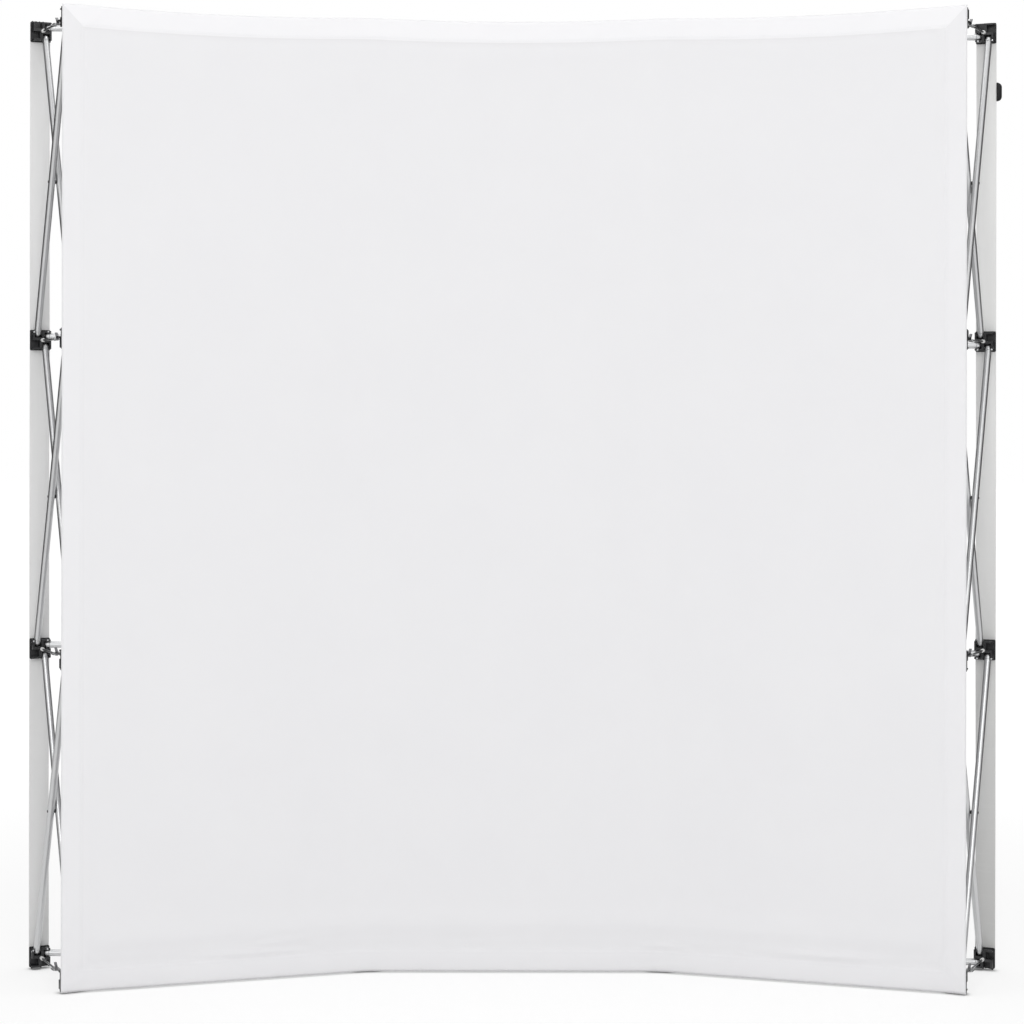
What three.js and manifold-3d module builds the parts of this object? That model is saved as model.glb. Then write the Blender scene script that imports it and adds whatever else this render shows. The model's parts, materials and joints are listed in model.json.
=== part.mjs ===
// A pop-up display backwall: a curved frame of hubs and crossing tubes that folds like a
// lattice gate, held open by lock arms, with one stretched fabric face on its hollow side.
// Millimetres, +Z up. The front faces -Y, +X is the viewer's right, and the origin lies on the
// floor, on the middle plane, half way between the front and the back of the object.
import * as THREE from "three";
import { mergeVertices } from "three/addons/utils/BufferGeometryUtils.js";
import Module from "manifold-3d";

const wasm = await Module();
wasm.setup();

// The frame as it stands open.
const COLUMNS = 4; // hub columns, side by side
const ROWS = 4; // hub rows, one above the other
const ROW_PITCH = 730; // hub centre to hub centre up a column
const BAY_TURN = 17.1; // degrees from one column to the next
const FRAME_DEPTH = 243; // front pivots to rear pivots

// Tubes.
const TUBE_DIAMETER = 16;
const CROSSING_GAP = 2; // between the two tubes of a pair, where they cross
const KNUCKLE_WIDTH = 10; // the end fitting, measured along its pivot pin
const KNUCKLE_RADIUS = 5;
const KNUCKLE_NECK = 2; // from the round of the fitting to the tube's end
const KNUCKLE_SINK = 3; // how deep the fitting plugs into the tube
const PIN_DIAMETER = 4;
const PIN_CLEARANCE = 0.5;
const RIVET_HEAD = 6;
const RIVET_RISE = 1.2; // how far a rivet head stands off its tube

// Hubs. Their four slots lie like the sails of a windmill.
const PIVOT_REACH = 15; // hub centre to pivot pin
const SLOT_CLEARANCE = 0.5; // tube to slot wall
const CHEEK = 4.25; // wall outside a slot
const PLATE_RIM = 2.5; // the plate stands out this far past the block
const PLATE_THICKNESS = 4;
const BLOCK_INWARD = 9; // pivots to the block's inner face
const FOOT_HEIGHT = 3;
const FOOT_DIAMETER = 4;
const FOOT_NEAR = 4; // foot pegs, sideways from the hub's centre
const FOOT_FAR = 18;
const HOOK_PAD = 40; // side of the hook-tape pad on each front hub
const HOOK_PAD_THICKNESS = 2;

// Lock gear: an arm on the front hub drops over the catch bar of a rod on the rear hub.
const CATCH_REACH = 102; // front pivots to the catch bar
const CATCH_BAR = 3.5;
const STIRRUP_WIDTH = 19.5;
const STIRRUP_LENGTH = 24;
const ROD_DIAMETER = 4;
const ARM_WIDTH = 6;
const ARM_HEIGHT = 5;
const ARM_EYE = 4.5; // radius of the arm's pivot eye
const ARM_PIN_DIAMETER = 3;
const ARM_SIDE_GAP = 0.4;
const EAR_THICKNESS = 2.2;
const HOOK_THICKNESS = 3.5;
const HOOK_DROP = 1.5; // below the catch bar
const ARM_BACK_OFF = 2; // hub block to the arm's eye
const FINGER_TAB = 8; // how far the tab at the arm's end goes back, and up
const TAB_THICKNESS = 2;
const HOOK_SHOULDER = 1; // from the arm's top down to the tab's root

// Fabric face.
const FABRIC_THICKNESS = 1.2;
const FABRIC_OVERHANG = 24; // past the centre of the end hubs
const FABRIC_RISE = 4.5; // above the top hubs
const FABRIC_SAG = 8; // top hem, half way between columns
const FABRIC_FLOOR_GAP = 1.5;
const HEM_STEPS = 8; // straight steps of the top hem in one bay

// Pale strips behind the two end columns, and the clip on the right-hand one.
const STRIP_WIDTH = 48;
const STRIP_THICKNESS = 2;
const STRIP_END = 20; // past the centres of the bottom and top hubs
const CLIP_HEIGHT = 44;
const CLIP_RISE = 12; // out from the strip's edge
const CLIP_GRIP = 6; // over the strip's edge
const CLIP_THICKNESS = 9;
const CLIP_DROP = 139; // below the centre of the top hub

const GAP = 0.3; // between pieces that touch
const TUBE_SIDES = 8;
const PIN_SIDES = 6;
const ROUND_SIDES = 8;
const TONGUE_STEPS = 4;
const ROOT = 1; // how deep a joined shape runs into what carries it
const WELD = 1e-3; // corners closer than this are one

// What follows from them.
const TUBE_RADIUS = TUBE_DIAMETER / 2;
const TUBE_OFFSET = (TUBE_DIAMETER + CROSSING_GAP) / 2; // tube axis beside the hub's centre plane
const SLOT_WIDTH = TUBE_DIAMETER + 2 * SLOT_CLEARANCE;
const SLOT_START = PIVOT_REACH - TUBE_RADIUS - 2 * SLOT_CLEARANCE;
const BLOCK_SIZE = 2 * (TUBE_OFFSET + SLOT_WIDTH / 2 + CHEEK);
const HUB_SIZE = BLOCK_SIZE + 2 * PLATE_RIM;
const PLATE_INNER = TUBE_RADIUS + SLOT_CLEARANCE; // pivots to the plate
const PLATE_OUTER = PLATE_INNER + PLATE_THICKNESS;
const HALF_TURN = THREE.MathUtils.degToRad(BAY_TURN / 2);
const TUBE_LENGTH = Math.hypot(ROW_PITCH - 2 * PIVOT_REACH, FRAME_DEPTH);
const FRONT_RADIUS = frontRadius();
const REAR_RADIUS = FRONT_RADIUS + FRAME_DEPTH;
const ARM_PIVOT = BLOCK_INWARD + ARM_EYE + ARM_BACK_OFF; // front pivots to the arm's own pivot
const END_ANGLE = columnAngle(COLUMNS - 1);
const FABRIC_RADIUS = FRONT_RADIUS - PLATE_OUTER - HOOK_PAD_THICKNESS - GAP;
const CURVE_CENTRE_Y = -(foremost() + rearmost()) / 2;

const ALUMINIUM = material("aluminium", 0xc6c8ca, 0.32, 0.9);
const BLACK_PLASTIC = material("black_plastic", 0x1f2023, 0.45, 0);
const BRIGHT_STEEL = material("bright_steel", 0xd0d2d4, 0.25, 0.95);
const WHITE_FABRIC = material("white_fabric", 0xe9e8ea, 0.9, 0);
const PALE_PLASTIC = material("pale_plastic", 0xd3d3d3, 0.6, 0);

function material(name, color, roughness, metalness) {
  return new THREE.MeshStandardMaterial({ name, color, roughness, metalness });
}

function columnAngle(column) {
  return (2 * column - COLUMNS + 1) * HALF_TURN;
}

function rowHeight(row) {
  return FOOT_HEIGHT + HUB_SIZE / 2 + row * ROW_PITCH;
}

// Every tube has one length. Up a column that is set by the pitch and the depth; across a bay
// it sets how far the front pivots lie from the centre of the curve. With the bay's two hubs a
// turn apart, the length squared is a quadratic in that radius.
function frontRadius() {
  const cos = Math.cos(2 * HALF_TURN);
  const sin = Math.sin(2 * HALF_TURN);
  const along = FRAME_DEPTH * cos + PIVOT_REACH * sin;
  const across = FRAME_DEPTH * sin - PIVOT_REACH * (1 + cos);
  const a = 2 * (1 - cos);
  const b = 2 * (sin * across - (1 - cos) * along);
  const c = along ** 2 + across ** 2 - TUBE_LENGTH ** 2;
  return (-b + Math.sqrt(b * b - 4 * a * c)) / (2 * a);
}

// How far in front of the curve's centre the object ends, and how far behind it. The wings'
// fabric ends are its foremost points, and the inner rear hubs' outer corners the rearmost.
function foremost() {
  const face = FABRIC_RADIUS - FABRIC_THICKNESS;
  return face * Math.cos(END_ANGLE) - FABRIC_OVERHANG * Math.sin(END_ANGLE);
}

function rearmost() {
  const inner = Math.min(...Array.from({ length: COLUMNS }, (_, k) => Math.abs(columnAngle(k))));
  const plate = REAR_RADIUS + PLATE_OUTER;
  return plate * Math.cos(inner) + (HUB_SIZE / 2) * Math.sin(inner);
}

// Solids.
function solidOf(geometry) {
  const bare = geometry.clone();
  bare.deleteAttribute("normal");
  bare.deleteAttribute("uv");
  const merged = mergeVertices(bare, WELD);
  return new wasm.Manifold(
    new wasm.Mesh({
      numProp: 3,
      vertProperties: merged.getAttribute("position").array,
      triVerts: new Uint32Array(merged.getIndex().array),
    }),
  );
}

function geometryOf(solid) {
  const { vertProperties, triVerts } = solid.getMesh();
  const geometry = new THREE.BufferGeometry();
  geometry.setAttribute("position", new THREE.BufferAttribute(vertProperties, 3));
  geometry.setIndex(new THREE.BufferAttribute(triVerts, 1));
  return geometry;
}

function moved(solid, matrix) {
  return solidOf(geometryOf(solid).applyMatrix4(matrix));
}

function join(...solids) {
  return solids.reduce((whole, one) => whole.add(one));
}

// A box between two corners.
function box(low, high) {
  const size = high.map((value, axis) => value - low[axis]);
  const geometry = new THREE.BoxGeometry(...size);
  geometry.translate(...low.map((value, axis) => value + size[axis] / 2));
  return solidOf(geometry);
}

// A round bar along an axis ("x", "y" or "z") from one end to the other, through a point. Its
// flats face the other two axes.
function bar(axis, from, to, radius, sides, [x, y, z] = [0, 0, 0]) {
  const start = Math.PI / sides;
  const corners = circle(0, 0, radius, sides, start, start + 2 * Math.PI);
  const shape = new THREE.Shape(corners.map(([u, v]) => new THREE.Vector2(u, v)));
  const geometry = new THREE.ExtrudeGeometry(shape, { depth: to - from, bevelEnabled: false });
  geometry.translate(0, 0, from);
  if (axis === "x") geometry.rotateY(Math.PI / 2);
  if (axis === "y") geometry.rotateX(-Math.PI / 2);
  geometry.translate(x, y, z);
  return solidOf(geometry);
}

// A flat outline of [y, z] points with an optional hole, as thick as width, about x = 0.
function profile(points, hole, width) {
  const shape = new THREE.Shape(points.map(([y, z]) => new THREE.Vector2(y, z)));
  if (hole) shape.holes.push(new THREE.Path(hole.map(([y, z]) => new THREE.Vector2(y, z))));
  const geometry = new THREE.ExtrudeGeometry(shape, { depth: width, bevelEnabled: false });
  geometry.translate(0, 0, -width / 2);
  geometry.applyMatrix4(new THREE.Matrix4().set(0, 0, 1, 0, 1, 0, 0, 0, 0, 1, 0, 0, 0, 0, 0, 1));
  return solidOf(geometry);
}

function circle(y, z, radius, sides, from = 0, to = 2 * Math.PI) {
  return Array.from({ length: sides }, (_, k) => {
    const angle = from + ((to - from) * k) / sides;
    return [y + radius * Math.cos(angle), z + radius * Math.sin(angle)];
  });
}

// One tube from pin to pin, in a frame where it rises along z and its pins lie along x. Its end
// fittings are flat tongues, round about their pins, which plug into the tube.
function tube(bored) {
  const reach = KNUCKLE_RADIUS + KNUCKLE_NECK;
  const tongue = [
    ...circle(0, 0, KNUCKLE_RADIUS, TONGUE_STEPS, Math.PI, 2 * Math.PI),
    [KNUCKLE_RADIUS, 0],
    [KNUCKLE_RADIUS, reach + KNUCKLE_SINK],
    [-KNUCKLE_RADIUS, reach + KNUCKLE_SINK],
  ];
  const eye = bored ? circle(0, 0, PIN_DIAMETER / 2 + PIN_CLEARANCE, PIN_SIDES) : null;
  const low = profile(tongue, eye, KNUCKLE_WIDTH);
  const end = new THREE.Matrix4().makeRotationX(Math.PI).setPosition(0, 0, TUBE_LENGTH);
  const barrel = bar("z", reach, TUBE_LENGTH - reach, TUBE_RADIUS, TUBE_SIDES);
  return join(barrel, low, moved(low, end));
}

function tubeBetween(start, end, pinAxis, bored) {
  const rise = end.clone().sub(start).normalize();
  const side = new THREE.Vector3().crossVectors(rise, pinAxis);
  const frame = new THREE.Matrix4().makeBasis(pinAxis, side, rise).setPosition(start);
  return moved(tube(bored), frame);
}

// Two crossing tubes with the spacer and the rivet that join them. One runs from rear to front
// at plus the tube offset along the pin axis, the other from front to rear at minus it.
function tubePair(plus, minus, crossing, pinAxis, bored = true) {
  const axis = pinAxis.x ? "x" : "z";
  const at = crossing.toArray();
  const outside = TUBE_OFFSET + TUBE_RADIUS;
  return join(
    tubeBetween(...plus, pinAxis, bored),
    tubeBetween(...minus, pinAxis, bored),
    bar(axis, -CROSSING_GAP, CROSSING_GAP, RIVET_HEAD / 2, PIN_SIDES, at),
    bar(axis, outside - CROSSING_GAP, outside + RIVET_RISE, RIVET_HEAD / 2, PIN_SIDES, at),
    bar(axis, -outside - RIVET_RISE, CROSSING_GAP - outside, RIVET_HEAD / 2, PIN_SIDES, at),
  );
}

// The pair in one bay of a column, in the frame of that column's front pivots at the lower hub.
function uprightPair() {
  const low = PIVOT_REACH;
  const high = ROW_PITCH - PIVOT_REACH;
  const point = (x, y, z) => new THREE.Vector3(x, y, z);
  return tubePair(
    [point(TUBE_OFFSET, FRAME_DEPTH, high), point(TUBE_OFFSET, 0, low)],
    [point(-TUBE_OFFSET, 0, high), point(-TUBE_OFFSET, FRAME_DEPTH, low)],
    point(0, FRAME_DEPTH / 2, ROW_PITCH / 2),
    point(1, 0, 0),
  );
}

// The pair across a bay, in the frame of the curve's centre with y along the bay's middle.
function levelPair(bored = true) {
  const pin = (radius, side, z) =>
    new THREE.Vector3(
      side * (radius * Math.sin(HALF_TURN) - PIVOT_REACH * Math.cos(HALF_TURN)),
      radius * Math.cos(HALF_TURN) + PIVOT_REACH * Math.sin(HALF_TURN),
      z,
    );
  const rear = pin(REAR_RADIUS, -1, TUBE_OFFSET);
  const front = pin(FRONT_RADIUS, 1, TUBE_OFFSET);
  const share = rear.x / (rear.x - front.x);
  const crossing = rear.clone().lerp(front, share).setZ(0);
  return tubePair(
    [rear, front],
    [pin(FRONT_RADIUS, -1, -TUBE_OFFSET), pin(REAR_RADIUS, 1, -TUBE_OFFSET)],
    crossing,
    new THREE.Vector3(0, 0, 1),
    bored,
  );
}

// A bare hub, in a frame where y points out of the frame and the four pivots lie at y = 0. It
// has four slots a quarter turn apart, and a pin in each slot that holds a tube.
function hubBody(pinned) {
  const plate = HUB_SIZE / 2;
  const block = BLOCK_SIZE / 2;
  let solid = box([-block, -BLOCK_INWARD, -block], [block, PLATE_OUTER, block]);
  const left = -TUBE_OFFSET - SLOT_WIDTH / 2;
  const right = -TUBE_OFFSET + SLOT_WIDTH / 2;
  const slot = box([left, -2 * BLOCK_INWARD, SLOT_START], [right, PLATE_INNER, HUB_SIZE]);
  const sink = CHEEK / 2;
  const pin = bar("x", left - sink, right + sink, PIN_DIAMETER / 2, PIN_SIDES, [0, 0, PIVOT_REACH]);
  for (let quarter = 0; quarter < 4; quarter++) {
    const turn = new THREE.Matrix4().makeRotationY((quarter * Math.PI) / 2);
    solid = solid.subtract(moved(slot, turn));
    if (pinned[quarter]) solid = solid.add(moved(pin, turn));
  }
  return solid.add(box([-plate, PLATE_INNER, -plate], [plate, PLATE_OUTER, plate]));
}

// Pegs under a bottom hub; mirror is 1 or -1.
function footPegs(mirror) {
  const y = (PLATE_INNER + PLATE_OUTER) / 2;
  const low = -HUB_SIZE / 2 - FOOT_HEIGHT;
  const high = -HUB_SIZE / 2 + PLATE_RIM;
  const peg = (x) => bar("z", low, high, FOOT_DIAMETER / 2, PIN_SIDES, [x, y, 0]);
  return join(peg(-mirror * FOOT_NEAR), peg(mirror * FOOT_FAR));
}

// The rod on a rear hub, with a stirrup at its end whose far side is the catch bar.
function catchRod() {
  const catchY = CATCH_REACH - FRAME_DEPTH;
  const half = CATCH_BAR / 2;
  const end = catchY + STIRRUP_LENGTH;
  const side = STIRRUP_WIDTH / 2;
  const plate = box([-side, catchY - half, -half], [side, end, half]);
  const eye = box(
    [CATCH_BAR - side, catchY + half, -CATCH_BAR],
    [side - CATCH_BAR, end - CATCH_BAR, CATCH_BAR],
  );
  const rod = bar("y", end - half, ROOT - BLOCK_INWARD, ROD_DIAMETER / 2, PIN_SIDES);
  return join(plate.subtract(eye), rod);
}

// Two ears and a pin on a front hub, which carry the lock arm.
function armBracket() {
  const inner = ARM_WIDTH / 2 + ARM_SIDE_GAP;
  const outer = inner + EAR_THICKNESS;
  const low = -ARM_PIVOT - ARM_EYE;
  const ear = (x) => box([x, low, -ARM_EYE], [x + EAR_THICKNESS, ROOT - BLOCK_INWARD, ARM_EYE]);
  const pin = bar("x", -outer, outer, ARM_PIN_DIAMETER / 2, PIN_SIDES, [0, -ARM_PIVOT, 0]);
  return join(ear(inner), ear(-outer), pin);
}

function hookPad() {
  const half = HOOK_PAD / 2;
  return box([-half, PLATE_OUTER - ROOT, -half], [half, PLATE_OUTER + HOOK_PAD_THICKNESS, half]);
}

// The slots in use, up, right, down and left as the front sees them. A front hub is turned
// round, so its right and left slots change places.
function usedSlots(side, column, row) {
  const right = column + 1 < COLUMNS;
  const left = column > 0;
  const [east, west] = side === "rear" ? [right, left] : [left, right];
  return [row + 1 < ROWS, east, row > 0, west];
}

function hub(side, column, row) {
  const mirror = Math.sign(columnAngle(column));
  const parts = [hubBody(usedSlots(side, column, row))];
  if (side === "rear") parts.push(catchRod());
  else parts.push(armBracket(), hookPad());
  if (row === 0) parts.push(footPegs(side === "rear" ? mirror : -mirror));
  return join(...parts);
}

// The lock arm, in the frame of its column's front pivots, with y pointing to the rear hub.
function lockArm() {
  const under = CATCH_BAR / 2 + GAP;
  const top = under + ARM_HEIGHT;
  const hook = CATCH_REACH + CATCH_BAR / 2 + GAP;
  const back = hook + HOOK_THICKNESS;
  const drop = -CATCH_BAR / 2 - HOOK_DROP;
  const shoulder = top - HOOK_SHOULDER;
  const outline = [
    ...circle(ARM_PIVOT, 0, ARM_EYE, ROUND_SIDES / 2, Math.PI / 2, (3 * Math.PI) / 2),
    [ARM_PIVOT, -ARM_EYE],
    [CATCH_REACH - 2 * ARM_HEIGHT, under],
    [hook, under],
    [hook, drop],
    [back, drop],
    [back, shoulder],
    [back + FINGER_TAB, shoulder + FINGER_TAB],
    [back + FINGER_TAB - TAB_THICKNESS, shoulder + FINGER_TAB + TAB_THICKNESS],
    [back + shoulder - top - TAB_THICKNESS, top],
    [CATCH_REACH - 2 * ARM_HEIGHT, top],
  ];
  const hole = circle(ARM_PIVOT, 0, ARM_PIN_DIAMETER / 2 + PIN_CLEARANCE, PIN_SIDES);
  return profile(outline, hole, ARM_WIDTH);
}

// The fabric's rear face in plan: flat on each hook pad and straight from pad to pad. A point
// holds its place and its share of the way across its bay, which is 0 on the pads.
function fabricPath() {
  const pad = HOOK_PAD / 2;
  const points = [];
  for (let column = 0; column < COLUMNS; column++) {
    const angle = columnAngle(column);
    const first = column === 0 ? -FABRIC_OVERHANG : -pad;
    const last = column === COLUMNS - 1 ? FABRIC_OVERHANG : pad;
    const at = (along) =>
      new THREE.Vector2(
        FABRIC_RADIUS * Math.sin(angle) + along * Math.cos(angle),
        FABRIC_RADIUS * Math.cos(angle) - along * Math.sin(angle),
      );
    const previous = points.length ? points[points.length - 1].place : null;
    for (let step = 1; previous && step < HEM_STEPS; step++) {
      const share = step / HEM_STEPS;
      points.push({ place: previous.clone().lerp(at(first), share), share });
    }
    points.push({ place: at(first), share: 0 }, { place: at(last), share: 0 });
  }
  return points;
}

// The fabric as a closed sheet, in the frame of the curve's centre.
function fabricFace() {
  const path = fabricPath();
  const top = rowHeight(ROWS - 1) + HUB_SIZE / 2 + FABRIC_RISE;
  const normal = (k) => {
    const before = path[Math.max(k - 1, 0)].place;
    const after = path[Math.min(k + 1, path.length - 1)].place;
    const way = after.clone().sub(before).normalize();
    return new THREE.Vector2(way.y, -way.x);
  };
  const corners = path.flatMap(({ place, share }, k) => {
    const front = place.clone().addScaledVector(normal(k), FABRIC_THICKNESS);
    const high = top - 4 * FABRIC_SAG * share * (1 - share);
    return [place, front].flatMap(({ x, y }) => [x, y, FABRIC_FLOOR_GAP, x, y, high]);
  });
  const faces = [0, 3, 1, 0, 2, 3];
  const sides = [[0, 1], [1, 3], [3, 2], [2, 0]];
  for (let k = 0; k + 1 < path.length; k++)
    for (const [a, b] of sides) {
      const [p, q, r, s] = [4 * k + a, 4 * k + b, 4 * k + 4 + b, 4 * k + 4 + a];
      faces.push(p, r, s, p, q, r);
    }
  const last = 4 * (path.length - 1);
  faces.push(last, last + 1, last + 3, last, last + 3, last + 2);
  const geometry = new THREE.BufferGeometry();
  geometry.setAttribute("position", new THREE.Float32BufferAttribute(corners, 3));
  geometry.setIndex(faces);
  return geometry;
}

// Strip and clip, in the frame of a rear hub at floor height, with y pointing out of the frame.
function endStrip() {
  const half = STRIP_WIDTH / 2;
  const inner = PLATE_OUTER + GAP;
  return box(
    [-half, inner, rowHeight(0) - STRIP_END],
    [half, inner + STRIP_THICKNESS, rowHeight(ROWS - 1) + STRIP_END],
  );
}

function stripClip() {
  const edge = STRIP_WIDTH / 2;
  const middle = PLATE_OUTER + GAP + STRIP_THICKNESS / 2;
  const centre = rowHeight(ROWS - 1) - CLIP_DROP;
  const half = CLIP_HEIGHT / 2;
  const shape = new THREE.Shape();
  shape.moveTo(edge - CLIP_GRIP, centre - half);
  shape.lineTo(edge, centre - half);
  shape.quadraticCurveTo(edge + CLIP_RISE, centre - half, edge + CLIP_RISE, centre - half / 2);
  shape.lineTo(edge + CLIP_RISE, centre + half / 2);
  shape.quadraticCurveTo(edge + CLIP_RISE, centre + half, edge, centre + half);
  shape.lineTo(edge - CLIP_GRIP, centre + half);
  const depth = CLIP_THICKNESS;
  const curveSegments = ROUND_SIDES / 2;
  const clip = new THREE.ExtrudeGeometry(shape, { depth, bevelEnabled: false, curveSegments });
  clip.rotateX(Math.PI / 2);
  clip.translate(0, middle + depth / 2, 0);
  const slit = STRIP_THICKNESS / 2 + GAP;
  const cut = box(
    [edge - 2 * CLIP_GRIP, middle - slit, centre - CLIP_HEIGHT],
    [edge + GAP, middle + slit, centre + CLIP_HEIGHT],
  );
  return solidOf(clip).subtract(cut);
}

// The object.
const backwall = new THREE.Group();
backwall.name = "pop_up_backwall";
backwall.position.y = CURVE_CENTRE_Y;

function addMesh(name, shape, finish, matrix) {
  const geometry = shape.isBufferGeometry ? shape : geometryOf(shape);
  geometry.computeVertexNormals();
  const mesh = new THREE.Mesh(geometry, finish);
  mesh.name = name;
  if (matrix) matrix.decompose(mesh.position, mesh.quaternion, mesh.scale);
  backwall.add(mesh);
}

// A frame at an angle round the curve, a distance from its centre and a height, with x along
// the curve to the viewer's right and y away from the viewer, or with both turned round.
function onCurve(angle, radius, z, turned = false) {
  const matrix = new THREE.Matrix4().makeRotationZ(-angle);
  matrix.multiply(new THREE.Matrix4().makeTranslation(0, radius, z));
  return turned ? matrix.multiply(new THREE.Matrix4().makeRotationZ(Math.PI)) : matrix;
}

const SIDES = [
  { side: "front", radius: FRONT_RADIUS, turned: true },
  { side: "rear", radius: REAR_RADIUS, turned: false },
];

function hubFrame({ radius, turned }, column, row) {
  return onCurve(columnAngle(column), radius, rowHeight(row), turned);
}

function isEndColumn(column) {
  return column === 0 || column === COLUMNS - 1;
}

function bayAngle(bay) {
  return columnAngle(bay) + HALF_TURN;
}

function isEndBay(bay) {
  return bay === 0 || bay === COLUMNS - 2;
}

// The inner hubs of one row and the tube pairs between them, locked open, as one piece.
function centreBay(row) {
  const parts = [];
  for (let column = 1; column < COLUMNS - 1; column++)
    for (const end of SIDES)
      parts.push(moved(hub(end.side, column, row), hubFrame(end, column, row)));
  for (let bay = 1; bay < COLUMNS - 2; bay++)
    parts.push(moved(levelPair(false), onCurve(bayAngle(bay), 0, rowHeight(row))));
  return join(...parts);
}

for (let row = 0; row < ROWS; row++) {
  for (let column = 0; column < COLUMNS; column++) {
    const place = `row${row + 1}_column${column + 1}`;
    const pivots = onCurve(columnAngle(column), FRONT_RADIUS, rowHeight(row));
    addMesh(`lock_arm_${place}`, lockArm(), BRIGHT_STEEL, pivots);
    if (row + 1 < ROWS) addMesh(`upright_tubes_${place}`, uprightPair(), ALUMINIUM, pivots);
    if (isEndColumn(column))
      for (const end of SIDES) {
        const solid = hub(end.side, column, row);
        addMesh(`${end.side}_hub_${place}`, solid, BLACK_PLASTIC, hubFrame(end, column, row));
      }
  }
  for (let bay = 0; bay < COLUMNS - 1; bay++) {
    const middle = onCurve(bayAngle(bay), 0, rowHeight(row));
    if (isEndBay(bay))
      addMesh(`level_tubes_row${row + 1}_bay${bay + 1}`, levelPair(), ALUMINIUM, middle);
  }
  addMesh(`centre_bay_row${row + 1}`, centreBay(row), ALUMINIUM);
}

addMesh("fabric_face", fabricFace(), WHITE_FABRIC);
addMesh("end_strip_left", endStrip(), PALE_PLASTIC, onCurve(-END_ANGLE, REAR_RADIUS, 0));
addMesh("end_strip_right", endStrip(), PALE_PLASTIC, onCurve(END_ANGLE, REAR_RADIUS, 0));
addMesh("strip_clip", stripClip(), BLACK_PLASTIC, onCurve(END_ANGLE, REAR_RADIUS, 0));

export default backwall;
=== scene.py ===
"""A curved pop-up display backwall: its hubs, tubes, lock gear, strips and fabric."""

import json
import math

import bmesh
import bpy
from mathutils import Matrix, Vector, noise


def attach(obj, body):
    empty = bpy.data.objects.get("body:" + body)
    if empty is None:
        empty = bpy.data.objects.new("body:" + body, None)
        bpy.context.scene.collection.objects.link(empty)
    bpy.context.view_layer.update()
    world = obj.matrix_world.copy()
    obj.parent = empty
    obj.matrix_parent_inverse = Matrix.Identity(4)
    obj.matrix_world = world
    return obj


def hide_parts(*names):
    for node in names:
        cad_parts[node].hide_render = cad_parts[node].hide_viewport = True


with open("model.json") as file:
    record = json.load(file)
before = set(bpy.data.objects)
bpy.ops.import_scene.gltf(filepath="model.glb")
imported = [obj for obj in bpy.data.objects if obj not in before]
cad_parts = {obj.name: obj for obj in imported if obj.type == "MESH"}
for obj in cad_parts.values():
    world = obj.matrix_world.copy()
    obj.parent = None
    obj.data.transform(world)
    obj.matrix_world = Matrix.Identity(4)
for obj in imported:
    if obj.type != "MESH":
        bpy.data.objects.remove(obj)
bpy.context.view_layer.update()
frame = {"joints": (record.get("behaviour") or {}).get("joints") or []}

# The frame's own sizes, in metres.
COLUMNS = 4
ROWS = 4
ROW_PITCH = 0.730
HALF_TURN = math.radians(17.1) / 2
FRAME_DEPTH = 0.243
TUBE_RADIUS = 0.008
TUBE_WALL = 0.001
TUBE_OFFSET = 0.009
CROSSING_GAP = 0.002
PIVOT_REACH = 0.015
SLOT_WIDTH = 0.017
SLOT_START = 0.006
PIN_RADIUS = 0.002
TUBE_START = 0.007  # pivot pin to where the tube's end fitting meets the tube
FITTING_NOSE = ((0, -0.0075), (0.0035, -0.0070), (0.0058, -0.0055), (0.0072, -0.0033))
BLOCK_HALF = 0.02175
PLATE_HALF = 0.02425
BLOCK_INWARD = 0.009
PLATE_INNER = 0.0085
PLATE_OUTER = 0.0125
FOOT_HEIGHT = 0.003
HOOK_PAD = 0.040
HOOK_PAD_THICKNESS = 0.002
CATCH_REACH = 0.102
CATCH_BAR = 0.0035
STIRRUP_WIDTH = 0.0195
STIRRUP_LENGTH = 0.024
ROD_RADIUS = 0.0026
ARM_PIVOT = 0.0155
ARM_EYE = 0.0045
ARM_WIDTH = 0.006
ARM_HEIGHT = 0.005
ARM_PIN_RADIUS = 0.0015
HOOK_THICKNESS = 0.0035
HOOK_DROP = 0.0015
FINGER_TAB = 0.008
EAR_INNER = 0.0034
EAR_THICKNESS = 0.0022
FABRIC_OVERHANG = 0.024
FABRIC_RISE = 0.0045
FABRIC_SAG = 0.008
FABRIC_FLOOR_GAP = 0.0018
STRIP_WIDTH = 0.048
STRIP_THICKNESS = 0.002
STRIP_END = 0.020
CLIP_HEIGHT = 0.044
CLIP_RISE = 0.012
CLIP_GRIP = 0.006
CLIP_THICKNESS = 0.009
CLIP_DROP = 0.139
CLIP_CLEARANCE = 0.0022
GAP = 0.0003

# Finish sizes that only show here.
FABRIC_THICKNESS = 0.0004
STITCH_WIDTH = 0.0009  # of the knit
STITCH_HEIGHT = 0.0007
KNIT_HEIGHT = 0.00025
TAPE_THICKNESS = 0.0007
HEM_WIDTH = 0.049
HEM_STEP = 0.0006  # the doubled hem stands this far proud of the single cloth
HEM_SLOPE = 0.0008  # half the width of that step
HEM_STITCH_INSETS = (0.0455, 0.0425)  # two rows, from the fabric's edge
STITCH_PITCH = 0.004

# Where the curve lies follows from the end column's lock arm pivots.
END_ANGLE = (COLUMNS - 1) * HALF_TURN
end_pivot = next(j["pos_m"] for j in frame["joints"] if j["name"] == "arm_swing_row1_column4")
FRONT_RADIUS = end_pivot[0] / math.sin(END_ANGLE) - ARM_PIVOT
REAR_RADIUS = FRONT_RADIUS + FRAME_DEPTH
CURVE_CENTRE_Y = end_pivot[1] - (FRONT_RADIUS + ARM_PIVOT) * math.cos(END_ANGLE)
LOWEST_ROW = end_pivot[2]
FABRIC_RADIUS = FRONT_RADIUS - PLATE_OUTER - HOOK_PAD_THICKNESS - GAP

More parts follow.
